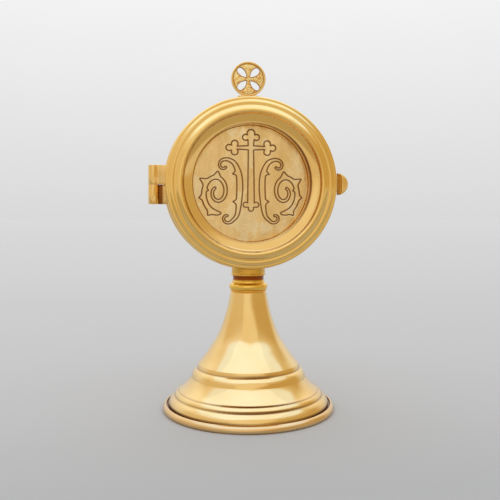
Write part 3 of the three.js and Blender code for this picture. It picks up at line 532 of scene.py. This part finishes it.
def cut_plate(name, loops, thick, edge, finish, lay, at=(0, 0, 0), brown=0.0):
    """A plate cut to an outline with its holes, its edges eased. lay is flat or standing."""
    curve = bpy.data.curves.new(name, "CURVE")
    curve.dimensions = "2D"
    curve.fill_mode = "BOTH"
    curve.extrude = thick / 2 - edge
    curve.bevel_depth = edge
    curve.bevel_resolution = 2
    curve.offset = -edge
    for loop in loops:
        line = curve.splines.new("POLY")
        line.points.add(len(loop) - 1)
        for point, (u, v) in zip(line.points, loop):
            point.co = (u, v, 0, 1)
        line.use_cyclic_u = True
    source = bpy.data.objects.new(name, curve)
    bpy.context.collection.objects.link(source)
    bpy.context.view_layer.update()
    mesh = bpy.data.meshes.new_from_object(source.evaluated_get(bpy.context.evaluated_depsgraph_get()))
    bpy.data.objects.remove(source)
    bpy.data.curves.remove(curve)
    verts = [tuple(v.co) if lay == "flat" else (v.co.x, -v.co.z, v.co.y) for v in mesh.vertices]
    faces = [tuple(p.vertices) for p in mesh.polygons]
    bpy.data.meshes.remove(mesh)
    return finished(name, verts, faces, finish, [brown] * len(verts), at=at)


def circle(across, along, radius, steps=48):
    turn = [math.tau * k / steps for k in range(steps)]
    return [(across + radius * math.cos(a), along + radius * math.sin(a)) for a in turn]


washer = cut_plate("washer", [circle(0, 0, 7.0, 72), circle(0, 0, ROD_HOLE)], 1.2, 0.2, satin_gilt,
                   "flat", at=(0, 0, 60.7))
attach(washer, "stand")
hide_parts("clamp_washer")
NUT_ACROSS_FLATS = 8
nut = cut_plate("nut", [circle(0, 0, NUT_ACROSS_FLATS / math.sqrt(3), 6), circle(0, 0, 2.55)], 4.0, 0.35,
                satin_gilt, "flat", at=(0, 0, 58.1))
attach(nut, "stand")
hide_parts("foot_nut")

CREST, ROOT, PITCH = 2.5, 2.2, 0.8
thread = [(0, 53.1), (1.8, 53.1), (ROOT, 53.5)]
for turn in range(33):
    thread += [(CREST, 53.75 + turn * PITCH), (CREST, 53.95 + turn * PITCH),
               (ROOT, 54.25 + turn * PITCH), (ROOT, 54.4 + turn * PITCH)]
rod = turned("rod", [*thread, (ROOT, 80.4), (1.8, 81.0), (0, 81.0)], satin_gilt, ease=0.05, steps=48)
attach(rod, "stand")
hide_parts("stem_stud")


# Case: a tube of brass sheet with a turned rim round its mouth and a spun back with a rolled
# edge, a bead and a low dome. The three are soldered together, then gilt and polished.

turned_gilt = gilt(
    "turned_gilt", (0.95, 0.68, 0.29), (0.26, 0.085, 0.008), 0.09, 0.05, 0.22, "turned", 0.18,
)
DRUM_INNER, BACK_EDGE = 42.2, 9.0
case_wall = turned(
    "wall_tube",
    [(DRUM_INNER, RIM_BACK), (CASE_RADIUS, RIM_BACK), (CASE_RADIUS, BACK_EDGE), (DRUM_INNER, BACK_EDGE)],
    turned_gilt, "front", 0.1, height=CASE_Z,
)
case_rim = turned(
    "mouth_rim",
    [(DRUM_INNER, -8.3), *rounded(44.2, -7.2, 1.1, -90, 60), (43.6, RIM_BACK), (DRUM_INNER, RIM_BACK)],
    turned_gilt, "front", 0.15, height=CASE_Z,
)
case_back = turned(
    "domed_back",
    [(CASE_RADIUS, BACK_EDGE), *rounded(44.2, 10.1, 1.1, -60, 90), (40.6, 11.0),
     *rounded(37.6, 10.8, 1.5, 20, 160), *bent((34.2, 11.3), (21.6, 13.2), (0, 13.2), steps=24),
     (0, 11.4), (33.2, 10.2), (38.2, 9.6), (DRUM_INNER, BACK_EDGE)],
    turned_gilt, "front", 0.3, height=CASE_Z,
)
for piece, node in ((case_wall, "case_wall"), (case_rim, "case_rim"), (case_back, "case_back")):
    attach(piece, "stand")
    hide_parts(node)


# Host holder: two thin crescents riveted on either side of a narrow strip make the slot in which
# the host stands. A forked block on top of the rod takes the pair on a pin. Satin gilt.

STRIP_INNER, CRESCENT, RIVET_HOLE = 35.3, 38.2, 0.75
CRESCENT_ANGLE, STRIP_ANGLE, RIVET_ANGLE = 62.0, 59, 43.4
RIVET_RING = (STRIP_INNER + CRESCENT) / 2


def refinished(finish, *nodes):
    """The new finish on plain parts whose shape is kept."""
    for node in nodes:
        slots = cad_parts[node].data.materials
        slots.clear()
        slots.append(finish)


rivet_places = []
for side in (-1, 1):
    angle = math.radians(side * RIVET_ANGLE)
    rivet_places.append((RIVET_RING * math.sin(angle), -RIVET_RING * math.cos(angle)))
pin_holes = [circle(u, v, RIVET_HOLE, 16) for u, v in [*rivet_places, (0, -RIVET_RING)]]
sweep = [math.radians(-90 - CRESCENT_ANGLE + 2 * CRESCENT_ANGLE * k / 72) for k in range(73)]
angle = math.radians(CRESCENT_ANGLE)
tip = (CRESCENT * math.sin(angle), -CRESCENT * math.cos(angle))
crescent = [(CRESCENT * math.cos(a), CRESCENT * math.sin(a)) for a in sweep]
crescent += bent((tip[0] - 1.2, tip[1] + 1), (tip[0] * 0.62, -32.0), (0, -31.6), steps=20)
crescent += bent((0, -31.6), (-tip[0] * 0.62, -32.0), (-tip[0] + 1.2, tip[1] + 1), steps=20)[1:]
for name, node, deep in (("crescent_fore", "crescent_front", -1.25),
                         ("crescent_aft", "crescent_rear", 1.25)):
    piece = cut_plate(name, [crescent, *pin_holes], 0.8, 0.12, satin_gilt, "standing",
                      at=(0, deep, CASE_Z))
    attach(piece, "stand")
    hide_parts(node)
sweep = [math.radians(-90 - STRIP_ANGLE + 2 * STRIP_ANGLE * k / 72) for k in range(73)]
strip = [(CRESCENT * math.cos(a), CRESCENT * math.sin(a)) for a in sweep]
strip += [(STRIP_INNER * math.cos(a), STRIP_INNER * math.sin(a)) for a in reversed(sweep)]
spacer = cut_plate("strip", [strip, *pin_holes], 1.7, 0.1, satin_gilt, "standing", at=(0, 0, CASE_Z))
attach(spacer, "stand")
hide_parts("crescent_spacer")

rivet_half = [(0, 2.15), *bent((0.6, 2.15), (1.2, 2.1), (1.26, 1.66), steps=8), (0.7, 1.65)]
rivet_side = [*rivet_half, *[(r, -h) for r, h in reversed(rivet_half)]]
verts, faces, _ = lathe_body(rivet_side, "front", 32)
for name, (u, v) in zip(("rivet_left", "rivet_right"), rivet_places):
    piece = finished(name, verts, faces, satin_gilt, at=(u, 0, CASE_Z + v))
    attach(piece, "stand")
    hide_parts("crescent_" + name)
refinished(satin_gilt, "holder_fork", "holder_pin")


# Door: one spun ring carries the edge bead, the cove, the full roll and the dish that leads down
# to the plate. It is the brightest part of the piece, gilt and polished all over.

DOOR_REAR = -8.5


def door_side(points):
    """Points given as radius and height above the door's rear, as radius and depth."""
    return [(r, DOOR_REAR - f) for r, f in points]


def wavy_rim(start, leans):
    """A moulded rim that falls towards the outside, from how far it leans back at each radius."""
    (radius, high), run = start, [start]
    for (r0, lean0), (r1, lean1) in zip(leans, leans[1:]):
        for k in range(1, 7):
            lean = lean0 + (lean1 - lean0) * (k - 0.5) / 6
            high -= (r1 - r0) / 6 * math.tan(math.radians(lean))
            run.append((r0 + (r1 - r0) * k / 6, high))
    return run


rim_front = wavy_rim((36.05, 10.75), [
    (36.05, -55), (36.5, -27), (37.0, -2), (37.5, 14), (38.2, 27), (39.1, 38), (39.6, 30),
    (40.0, 8), (40.4, -10), (40.8, -12), (41.3, 6), (41.8, 24), (42.4, 36), (42.8, 20),
    (43.1, 0), (43.4, -4), (43.8, 12), (44.15, 36), (44.4, 60), (44.55, 76),
])
# Painted shade: the hollows are browned a little; a dark line at the foot of the roll, kept darkest at the
# lower left, paints a dark reflection, and a dark line round the plate, kept darkest at the right, paints
# a shadow.
door_bezel = turned(
    "door_ring",
    door_side([
        (44.6, 0), (44.6, rim_front[-1][1] - 0.2), *reversed(rim_front),
        (35.45, 9.75), *bent((35.2, 9.45), (33.5, 8.55), (31.3, 8.1), steps=18), (31.1, 8.1), (30.6, 7.6),
        (30.6, 0.8), (31.5, 0.8), (31.5, 7.1), (35.6, 8.6), (36.9, 10.0), (39.3, 8.9), (43.0, 7.9),
        (43.7, 7.0), (43.7, 0),
    ]),
    turned_gilt, "front", 0.15, height=CASE_Z, brown=0.12,
    stains_and_shade=[(35.5, DOOR_REAR - 9.8, 0.6, 0.8, 0.4, 4, 205),
            (30.9, DOOR_REAR - 7.6, 1.1, 0.9, 0.45, 1.5, 12)],
)
ring_gilt = gilt("ring_gilt", (0.96, 0.675, 0.25), (0.22, 0.085, 0.012), 0.13, 0.03, 0.15, "turned", 0.08,
                 drawn=0.4)
ROLL_FROM = 36.2
door_bezel.data.materials.append(ring_gilt)
for face in door_bezel.data.polygons:
    if 1000 * math.hypot(face.center.x, face.center.z) > ROLL_FROM:
        face.material_index = 1
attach(door_bezel, "door")
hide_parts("door_bezel")


# Engraved plate: a brass disc with a bevelled edge at the bottom of the dish, brushed and gilt.
# A trefoil cross between mirrored scrolls is cut into it with a graver, and the cuts are brown.

PLATE_EDGE, FACE_EDGE, FACE, PLATE_STEPS = 30.55, 30.25, -10.5, 192
CUT_FLOOR, CUT_WIDTH, CUT_DEPTH = 0.25, 0.48, 0.11


def graver_turn(cx, cz, radius, start, end, pace=0.35):
    """A round cut, with its points at about even distances."""
    count = max(3, int(abs(math.radians(end - start)) * radius / pace))
    return rounded(cx, cz, radius, start, end, count)


def trefoil(reach, side_at, side_out, side_size, tip_size):
    """The three lobes at the end of an arm, for an arm that comes from below."""
    return [*graver_turn(side_out, side_at, side_size, -140, 118),
            *graver_turn(0, reach - tip_size, tip_size, -28, 208),
            *graver_turn(-side_out, side_at, side_size, 62, 320)]


def laid(points, cx, cz, turn):
    """The points turned by some degrees and moved to a place."""
    c, s = math.cos(math.radians(turn)), math.sin(math.radians(turn))
    return [(cx + u * c - v * s, cz + u * s + v * c) for u, v in points]


def coil(cx, cz, first, last, start, end, wide=1.0, tall=1.0, count=80):
    """A scroll whose radius shrinks as it winds."""
    run = []
    for i in range(count + 1):
        t = i / count
        radius, angle = first + (last - first) * t ** 0.85, math.radians(start + (end - start) * t)
        run.append((cx + wide * radius * math.cos(angle), cz + tall * radius * math.sin(angle)))
    return run


def paced(points, pace=0.3):
    """The same line with its points at even distances."""
    run, gone = [points[0]], 0.0
    for a, b in zip(points, points[1:]):
        while gone + math.dist(a, b) >= pace:
            a = lerp(a, b, (pace - gone) / math.dist(a, b))
            run.append(a)
            gone = 0.0
        gone += math.dist(a, b)
    return run


def leaf_band(line, width, barbs):
    """The outline of a tapering band along a line, with small pointed leaves on its sides."""
    line = paced(line)
    left, right = [], []
    for i, (x, z) in enumerate(line):
        a, b = line[max(i - 1, 0)], line[min(i + 1, len(line) - 1)]
        across = Vector((a[1] - b[1], b[0] - a[0])).normalized()
        t = i / (len(line) - 1)
        wide = {1: width(t), -1: width(t)}
        for at, side, high, reach in barbs:
            wide[side] += high * max(0, 1 - abs(t - at) / reach) ** 2.2
        left.append((x + across.x * wide[1], z + across.y * wide[1]))
        right.append((x - across.x * wide[-1], z - across.y * wide[-1]))
    return left + right[::-1]


POST_HALF, ARM_HALF, ARM_Z = 1.4, 1.1, 18.6
cross_line = [
    *laid(trefoil(9.7, 5.5, 2.9, 1.6, 2.05), 0, ARM_Z, 0), (-POST_HALF, ARM_Z + ARM_HALF),
    *laid(trefoil(13.2, 8.6, 2.1, 1.75, 1.65), 0, ARM_Z, 90), (-POST_HALF, ARM_Z - ARM_HALF),
    *laid(trefoil(14.7 + ARM_Z, 11.3 + ARM_Z, 2.8, 1.35, 1.4), 0, ARM_Z, 180),
    (POST_HALF, ARM_Z - ARM_HALF),
    *laid(trefoil(13.2, 8.6, 2.1, 1.75, 1.65), 0, ARM_Z, 270), (POST_HALF, ARM_Z + ARM_HALF),
]
stalk = [
    *coil(12.6, -18.2, 3.2, 1.0, 200, 470)[::-1],
    *flowing([(9.0, -19.0), (7.2, -16.0), (6.3, -9.0), (5.9, -1.0), (6.6, 5.5), (9.0, 10.6),
              (12.4, 12.5)], 12)[1:-1],
    *coil(14.2, 9.2, 3.4, 1.0, 110, -160),
]
stalk_line = leaf_band(
    stalk, lambda t: 0.55 + math.sin(math.pi * min(1, max(0, (t - 0.08) / 0.84))) ** 1.5,
    [(0.36, -1, 2.0, 0.035), (0.64, -1, 2.0, 0.035)],
)
scroll_line = leaf_band(
    coil(17.9, -4.6, 10.6, 2.0, -104, 430, 0.80, 1.08, 160),
    lambda t: 1.35 - 0.75 * t ** 1.2 if t > 0.06 else 0.25 + 1.1 * (t / 0.06) ** 0.6,
    [(0.10, -1, 2.0, 0.04), (0.255, -1, 1.6, 0.04), (0.40, -1, 3.6, 0.045), (0.52, -1, 2.6, 0.04),
     (0.33, 1, 1.2, 0.03)],
)
lines = [cross_line, stalk_line, scroll_line]
lines += [[(-x, z) for x, z in line] for line in (stalk_line, scroll_line)]


def cut_distance(points, loops):
    """How far each point is from the nearest cut."""
    p = np.array(points)
    best = np.full(len(p), 1e9)
    for loop in loops:
        a = np.array(loop)
        b = np.roll(a, -1, axis=0)
        for s, e in zip(a, b):
            d = e - s
            t = np.clip(((p - s) @ d) / max(float(d @ d), 1e-12), 0, 1)
            best = np.minimum(best, np.linalg.norm(p - (s + t[:, None] * d), axis=1))
    return best


lines = [paced([*line, line[0]], 0.32)[:-1] for line in lines]
flat_points, flat_edges = [], []


def pen(loop):
    """A closed line that the faces of the plate have to follow."""
    start = len(flat_points)
    flat_points.extend(Vector(p) for p in loop)
    flat_edges.extend((start + i, start + (i + 1) % len(loop)) for i in range(len(loop)))


for line in lines:
    pen(line)
    for side in (-CUT_WIDTH, -CUT_FLOOR, CUT_FLOOR, CUT_WIDTH):
        shifted = []
        for i, here in enumerate(line):
            a, b = line[i - 1], line[(i + 1) % len(line)]
            across = Vector((a[1] - b[1], b[0] - a[0]))
            if across.length > 1e-6:
                across.normalize()
                shifted.append((here[0] + side * across.x, here[1] + side * across.y))
        pen(shifted)
pen(circle(0, 0, FACE_EDGE, PLATE_STEPS))
face_points, _, face_tris = delaunay_2d_cdt(flat_points, flat_edges, [], 0, 1e-5)[:3]
far = cut_distance([tuple(p) for p in face_points], lines)
sunk = np.clip((CUT_WIDTH - far) / (CUT_WIDTH - CUT_FLOOR), 0, 1)
plate_verts = [(p[0], FACE + CUT_DEPTH * s, p[1]) for p, s in zip(face_points, sunk)]
plate_faces = [tuple(t) for t in face_tris]
plate_hollow = [float(s) for s in sunk]
plate_side = door_side([(FACE_EDGE, 2.0), (PLATE_EDGE - 0.04, 1.80), (PLATE_EDGE, 1.72),
                        (PLATE_EDGE, 0.8), (0, 0.8)])
start = len(plate_verts)
side_verts, side_faces, side_rows = lathe_body(plate_side, "front", PLATE_STEPS)
face_row, centre = side_rows[0], side_rows[-1][0]
plate_verts += side_verts
plate_faces += [tuple(start + i for i in f) for f in side_faces
                if not (centre in f and any(i in face_row for i in f))]
plate_hollow += [0.0] * len(side_verts)

plate_gilt = gilt("plate_gilt", (1.0, 0.77, 0.43), (0.30, 0.14, 0.040), 0.26, 0.10, 0.12, "brushed", 0.4)
engraved_plate = finished("scroll_plate", plate_verts, plate_faces, plate_gilt, plate_hollow, sharp=12,
                          at=(0, 0, CASE_Z))
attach(engraved_plate, "door")
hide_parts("engraved_plate")


# Door back and spigot: a flat disc closes the door from behind, and a short tube soldered to it
# enters the mouth of the case. The tube has a window in which the catch bites.

back_gilt = gilt("back_gilt", (0.92, 0.70, 0.35), (0.20, 0.09, 0.03), 0.22, 0.10, 0.20, "turned", 0.7)
door_back = turned(
    "door_disc", door_side([(0, 0.8), (0, 0), (43.65, 0), (43.65, 0.8)]), back_gilt, "front", 0.15,
    height=CASE_Z,
)
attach(door_back, "door")
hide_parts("door_back")
refinished(back_gilt, "door_spigot")


# Hinge: two knuckles, each in one with its leaf. The upper leaf is soldered to the door and the
# lower one to the case, and a brass pin with domed ends holds them.

HINGE_X, HINGE_Y, HINGE_MID, HINGE_HALF, KNUCKLE, KNUCKLE_GAP = -50.5, -8.3, 119.2, 10.1, 2.8, 0.03


def painted_shade(piece, places):
    """Painted shade: a piece darkened across its width where it lies in shade between parts, from pairs of
    place across and share.
    """
    cut = bmesh.new()
    cut.from_mesh(piece.data)
    for place, _ in places:
        bmesh.ops.bisect_plane(cut, geom=[*cut.verts, *cut.edges, *cut.faces], dist=1e-7,
                               plane_co=(place / 1000, 0, 0), plane_no=(1, 0, 0))
    cut.to_mesh(piece.data)
    cut.free()
    share = np.interp([v.co.x * 1000 for v in piece.data.vertices], *zip(*places))
    piece.data.attributes["hollow"].data.foreach_set("value", share)


def hinge_half(name, low, high, y_low, y_high, ring):
    """A knuckle with its leaf, drilled for the pin. The leaf's end is cut round the ring."""
    a, b = math.asin((y_low - HINGE_Y) / KNUCKLE), math.asin((y_high - HINGE_Y) / KNUCKLE)
    barrel = [b + (a + math.tau - b) * k / 60 for k in range(61)]
    outline = [(-ring + 4, y_low), (-ring + 4, y_high)]
    outline += [(HINGE_X + KNUCKLE * math.cos(t), HINGE_Y + KNUCKLE * math.sin(t)) for t in barrel]
    middle = (low + high) / 2
    made = cut_plate(name, [outline, circle(HINGE_X, HINGE_Y, 1.15, 32)], high - low, 0.22, turned_gilt,
                     "flat", at=(0, 0, middle))
    for v in made.data.vertices:
        if v.co.x * 1000 > -ring + 3:
            z = v.co.z * 1000 + middle - CASE_Z
            v.co.x = -(math.sqrt(ring ** 2 - z * z) - 0.5) / 1000
    return made


hinge_door = hinge_half("hinge_upper", HINGE_MID + KNUCKLE_GAP, HINGE_MID + HINGE_HALF, -10.7, -8.5, 44.6)
# Painted shade: the upper leaf is darkened a little between its knuckle and the ring.
painted_shade(hinge_door, [(-48.3, 0.0), (-47.6, 0.35), (-46.0, 0.25)])
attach(hinge_door, "door")
hinge_case = hinge_half("hinge_lower", HINGE_MID - HINGE_HALF, HINGE_MID - KNUCKLE_GAP, -8.2, -6.1, 45.3)
# Painted shade: the lower leaf is darkened strongly between its knuckle and the ring, where it lies back
# behind the door.
painted_shade(hinge_case, [(-48.3, 0.1), (-47.6, 1.0), (-46.4, 0.9), (-45.4, 0.35)])
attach(hinge_case, "stand")
pin_end = bent((0, 10.25), (0.8, 10.25), (1.1, 9.9), steps=8)
hinge_pin = turned("hinge_rod", [*pin_end, *[(r, -h) for r, h in reversed(pin_end)]], turned_gilt,
                   ease=0.02, steps=32)
hinge_pin.location = (HINGE_X / 1000, HINGE_Y / 1000, HINGE_MID / 1000)
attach(hinge_pin, "stand")
for piece, node in ((hinge_door, "hinge_leaf_door"), (hinge_case, "hinge_leaf_case"),
                    (hinge_pin, "hinge_pin")):
    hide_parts(node)


# Catch: a D-shaped thumb piece cut from brass plate, with its tongue through the wall and a hook
# at the end of it. A bow of spring steel in a sheet guide pushes it out.

THUMB_X, THUMB_Z, THUMB, TONGUE, SHOULDER = 48.3, 120.3, 5.9, 4.0, 5.5
SHOULDER_X, TONGUE_END, CATCH_Y, SWELL = 41.5, 38.4, -3.8, 5.3
thumb_turn = [math.radians(-90 + 180 * k / 48) for k in range(1, 48)]
thumb_outline = [
    (TONGUE_END, -SHOULDER), (SHOULDER_X, -SHOULDER), (SHOULDER_X, -TONGUE), (THUMB_X, -TONGUE),
    (THUMB_X, -THUMB), *[(THUMB_X + THUMB * math.cos(t), THUMB * math.sin(t)) for t in thumb_turn],
    (THUMB_X, THUMB), (THUMB_X, TONGUE), (SHOULDER_X, TONGUE), (SHOULDER_X, SHOULDER),
    (TONGUE_END, SHOULDER),
]
thumb = cut_plate("thumb", [thumb_outline], 2.6, 0.55, shaded_neck_gilt, "standing", at=(0, CATCH_Y, THUMB_Z))
swell_turn = [math.radians(-66 + 132 * k / 32) for k in range(33)]
swell_outline = [(THUMB_X + 2, -5.0),
                 *[(THUMB_X + SWELL * math.cos(t), SWELL * math.sin(t)) for t in swell_turn],
                 (THUMB_X + 2, 5.0)]
thumb_swell = cut_plate("thumb_swell", [swell_outline], 1.2, 0.5, turned_gilt, "standing",
                        at=(0, -5.1, THUMB_Z))
hook_outline = [(38.6, -2.5), (40.2, -2.5), (40.2, 2.5), (38.6, 2.5)]
hook = cut_plate("thumb_hook", [hook_outline], 2.9, 0.12, turned_gilt, "standing", at=(0, -6.2, THUMB_Z))
tooth_outline = [(39.7, -2.5), (41.7, -2.5), (41.7, 2.5), (39.7, 2.5)]
tooth = cut_plate("thumb_tooth", [tooth_outline], 0.9, 0.12, turned_gilt, "standing",
                  at=(0, -7.15, THUMB_Z))
# Painted shade: the thumb piece is darkened on its flat part next to the door ring.
painted_shade(thumb, [(44.0, 0.0), (46.0, 0.62), (49.9, 0.62), (50.5, 0.1)])
for piece in (thumb, thumb_swell, hook, tooth):
    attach(piece, "catch")
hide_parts("thumb_catch")

spring_steel = gilt("spring_steel", (0.52, 0.50, 0.47), (0.12, 0.10, 0.08), 0.28, 0.10, 0.0, "flat", 0.6)
bow_rise, bow_low, strip_thick = 1.65, 36.3, 0.35
bow_outer = bent((bow_low + strip_thick, -4.9), (bow_low + strip_thick + 2 * bow_rise, 0),
                 (bow_low + strip_thick, 4.9), steps=24)
bow_inner = bent((bow_low, 4.9), (bow_low + 2 * bow_rise, 0), (bow_low, -4.9), steps=24)
bow = cut_plate("bow", [[*bow_outer, *bow_inner]], 2.0, 0.06, spring_steel, "standing",
                at=(0, CATCH_Y, THUMB_Z))
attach(bow, "stand")
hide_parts("catch_spring")
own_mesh(bow)
refinished(satin_gilt, "catch_guide", "guide_rivet_upper", "guide_rivet_lower")


# Finial: a cradle on top of the case, held from inside by a stud and a small nut, carries a ring
# with a pierced cross in it. The arms are sunk and stippled between plain polished borders.

FINIAL, FINIAL_Z, RING_INNER, FIELD = 9.35, 177.0, 8.4, 8.0
ring = turned("ring_band", [(RING_INNER, 1.1), (FINIAL, 1.1), (FINIAL, -1.1), (RING_INNER, -1.1)],
              turned_gilt, "front", 0.38, 128, height=FINIAL_Z)
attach(ring, "stand")
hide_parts("finial_ring")

PIERCE_IN, PIERCE_OUT, PIERCE_HALF = 1.4, 7.9, 1.7
shoulder, corner = 0.66 * PIERCE_OUT, (0.97 * PIERCE_OUT, 0.11 * PIERCE_OUT)
petal = [*bent((PIERCE_IN, 0), (0.42 * PIERCE_OUT, PIERCE_HALF), (shoulder, PIERCE_HALF), steps=16),
         *bent((shoulder, PIERCE_HALF), (0.91 * PIERCE_OUT, PIERCE_HALF), corner, steps=6)[1:]]
petal_end = bent(corner, (1.025 * PIERCE_OUT, 0), (corner[0], -corner[1]), steps=8)[1:-1]
edge = [(PIERCE_IN - 0.5, 0)]
for (s0, w0), (s1, w1) in zip(petal, petal[1:]):
    out = Vector((w0 - w1, s1 - s0)).normalized() * 0.42
    if math.hypot(s1 + out.x, w1 + out.y) < FIELD and w1 + out.y > 0.2:
        edge.append((s1 + out.x, w1 + out.y))
holes, field = [], []
for quarter in range(4):
    angle = 45 + 90 * quarter
    holes.append(laid([*petal, *petal_end, *[(s, -w) for s, w in reversed(petal[1:])]], 0, 0, angle))
    field += laid([*[(s, -w) for s, w in reversed(edge)], *edge[1:]], 0, 0, angle)
    last = math.degrees(math.atan2(edge[-1][1], edge[-1][0]))
    field += [(FIELD * math.cos(math.radians(a)), FIELD * math.sin(math.radians(a)))
              for a in np.linspace(angle + last + 1, angle + 89 - last, 12)]
# Painted shade: the borders are browned all over, partly as patina and partly as the shade along the
# piercings and the ring.
border_plate = cut_plate("cross_border", [circle(0, 0, 8.5, 96), field, *holes], 1.3, 0.1, turned_gilt,
                         "standing", at=(0, 0, FINIAL_Z), brown=0.6)
stipple = gilt("stipple_gilt", (0.98, 0.67, 0.25), (0.20, 0.075, 0.02), 0.24, 0.08, 0.15, "stippled", 1.0)
stipple_plate = cut_plate("cross_field", [circle(0, 0, 8.4, 96), *holes], 0.8, 0.05, stipple, "standing",
                          at=(0, 0, FINIAL_Z))
for piece in (border_plate, stipple_plate):
    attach(piece, "stand")
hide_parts("finial_cross")

under = [(x, math.sqrt(43.3 ** 2 - x * x)) for x in np.linspace(-5.5, 5.5, 24)]
right_side = bent((5.5, 43.0), (4.4, 45.4), (5.7, 47.6), steps=14)[1:]
cup = [(x, 56.9 - math.sqrt(9.42 ** 2 - x * x)) for x in np.linspace(3.5, -3.5, 24)]
left_side = [(-x, z) for x, z in reversed(right_side)]
saddle = cut_plate("saddle", [[*under, *right_side, *cup, *left_side]], 3.0, 0.3, turned_gilt, "standing",
                   at=(0, 0, CASE_Z))
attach(saddle, "stand")
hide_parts("finial_saddle")
refinished(satin_gilt, "finial_stud", "finial_nut")
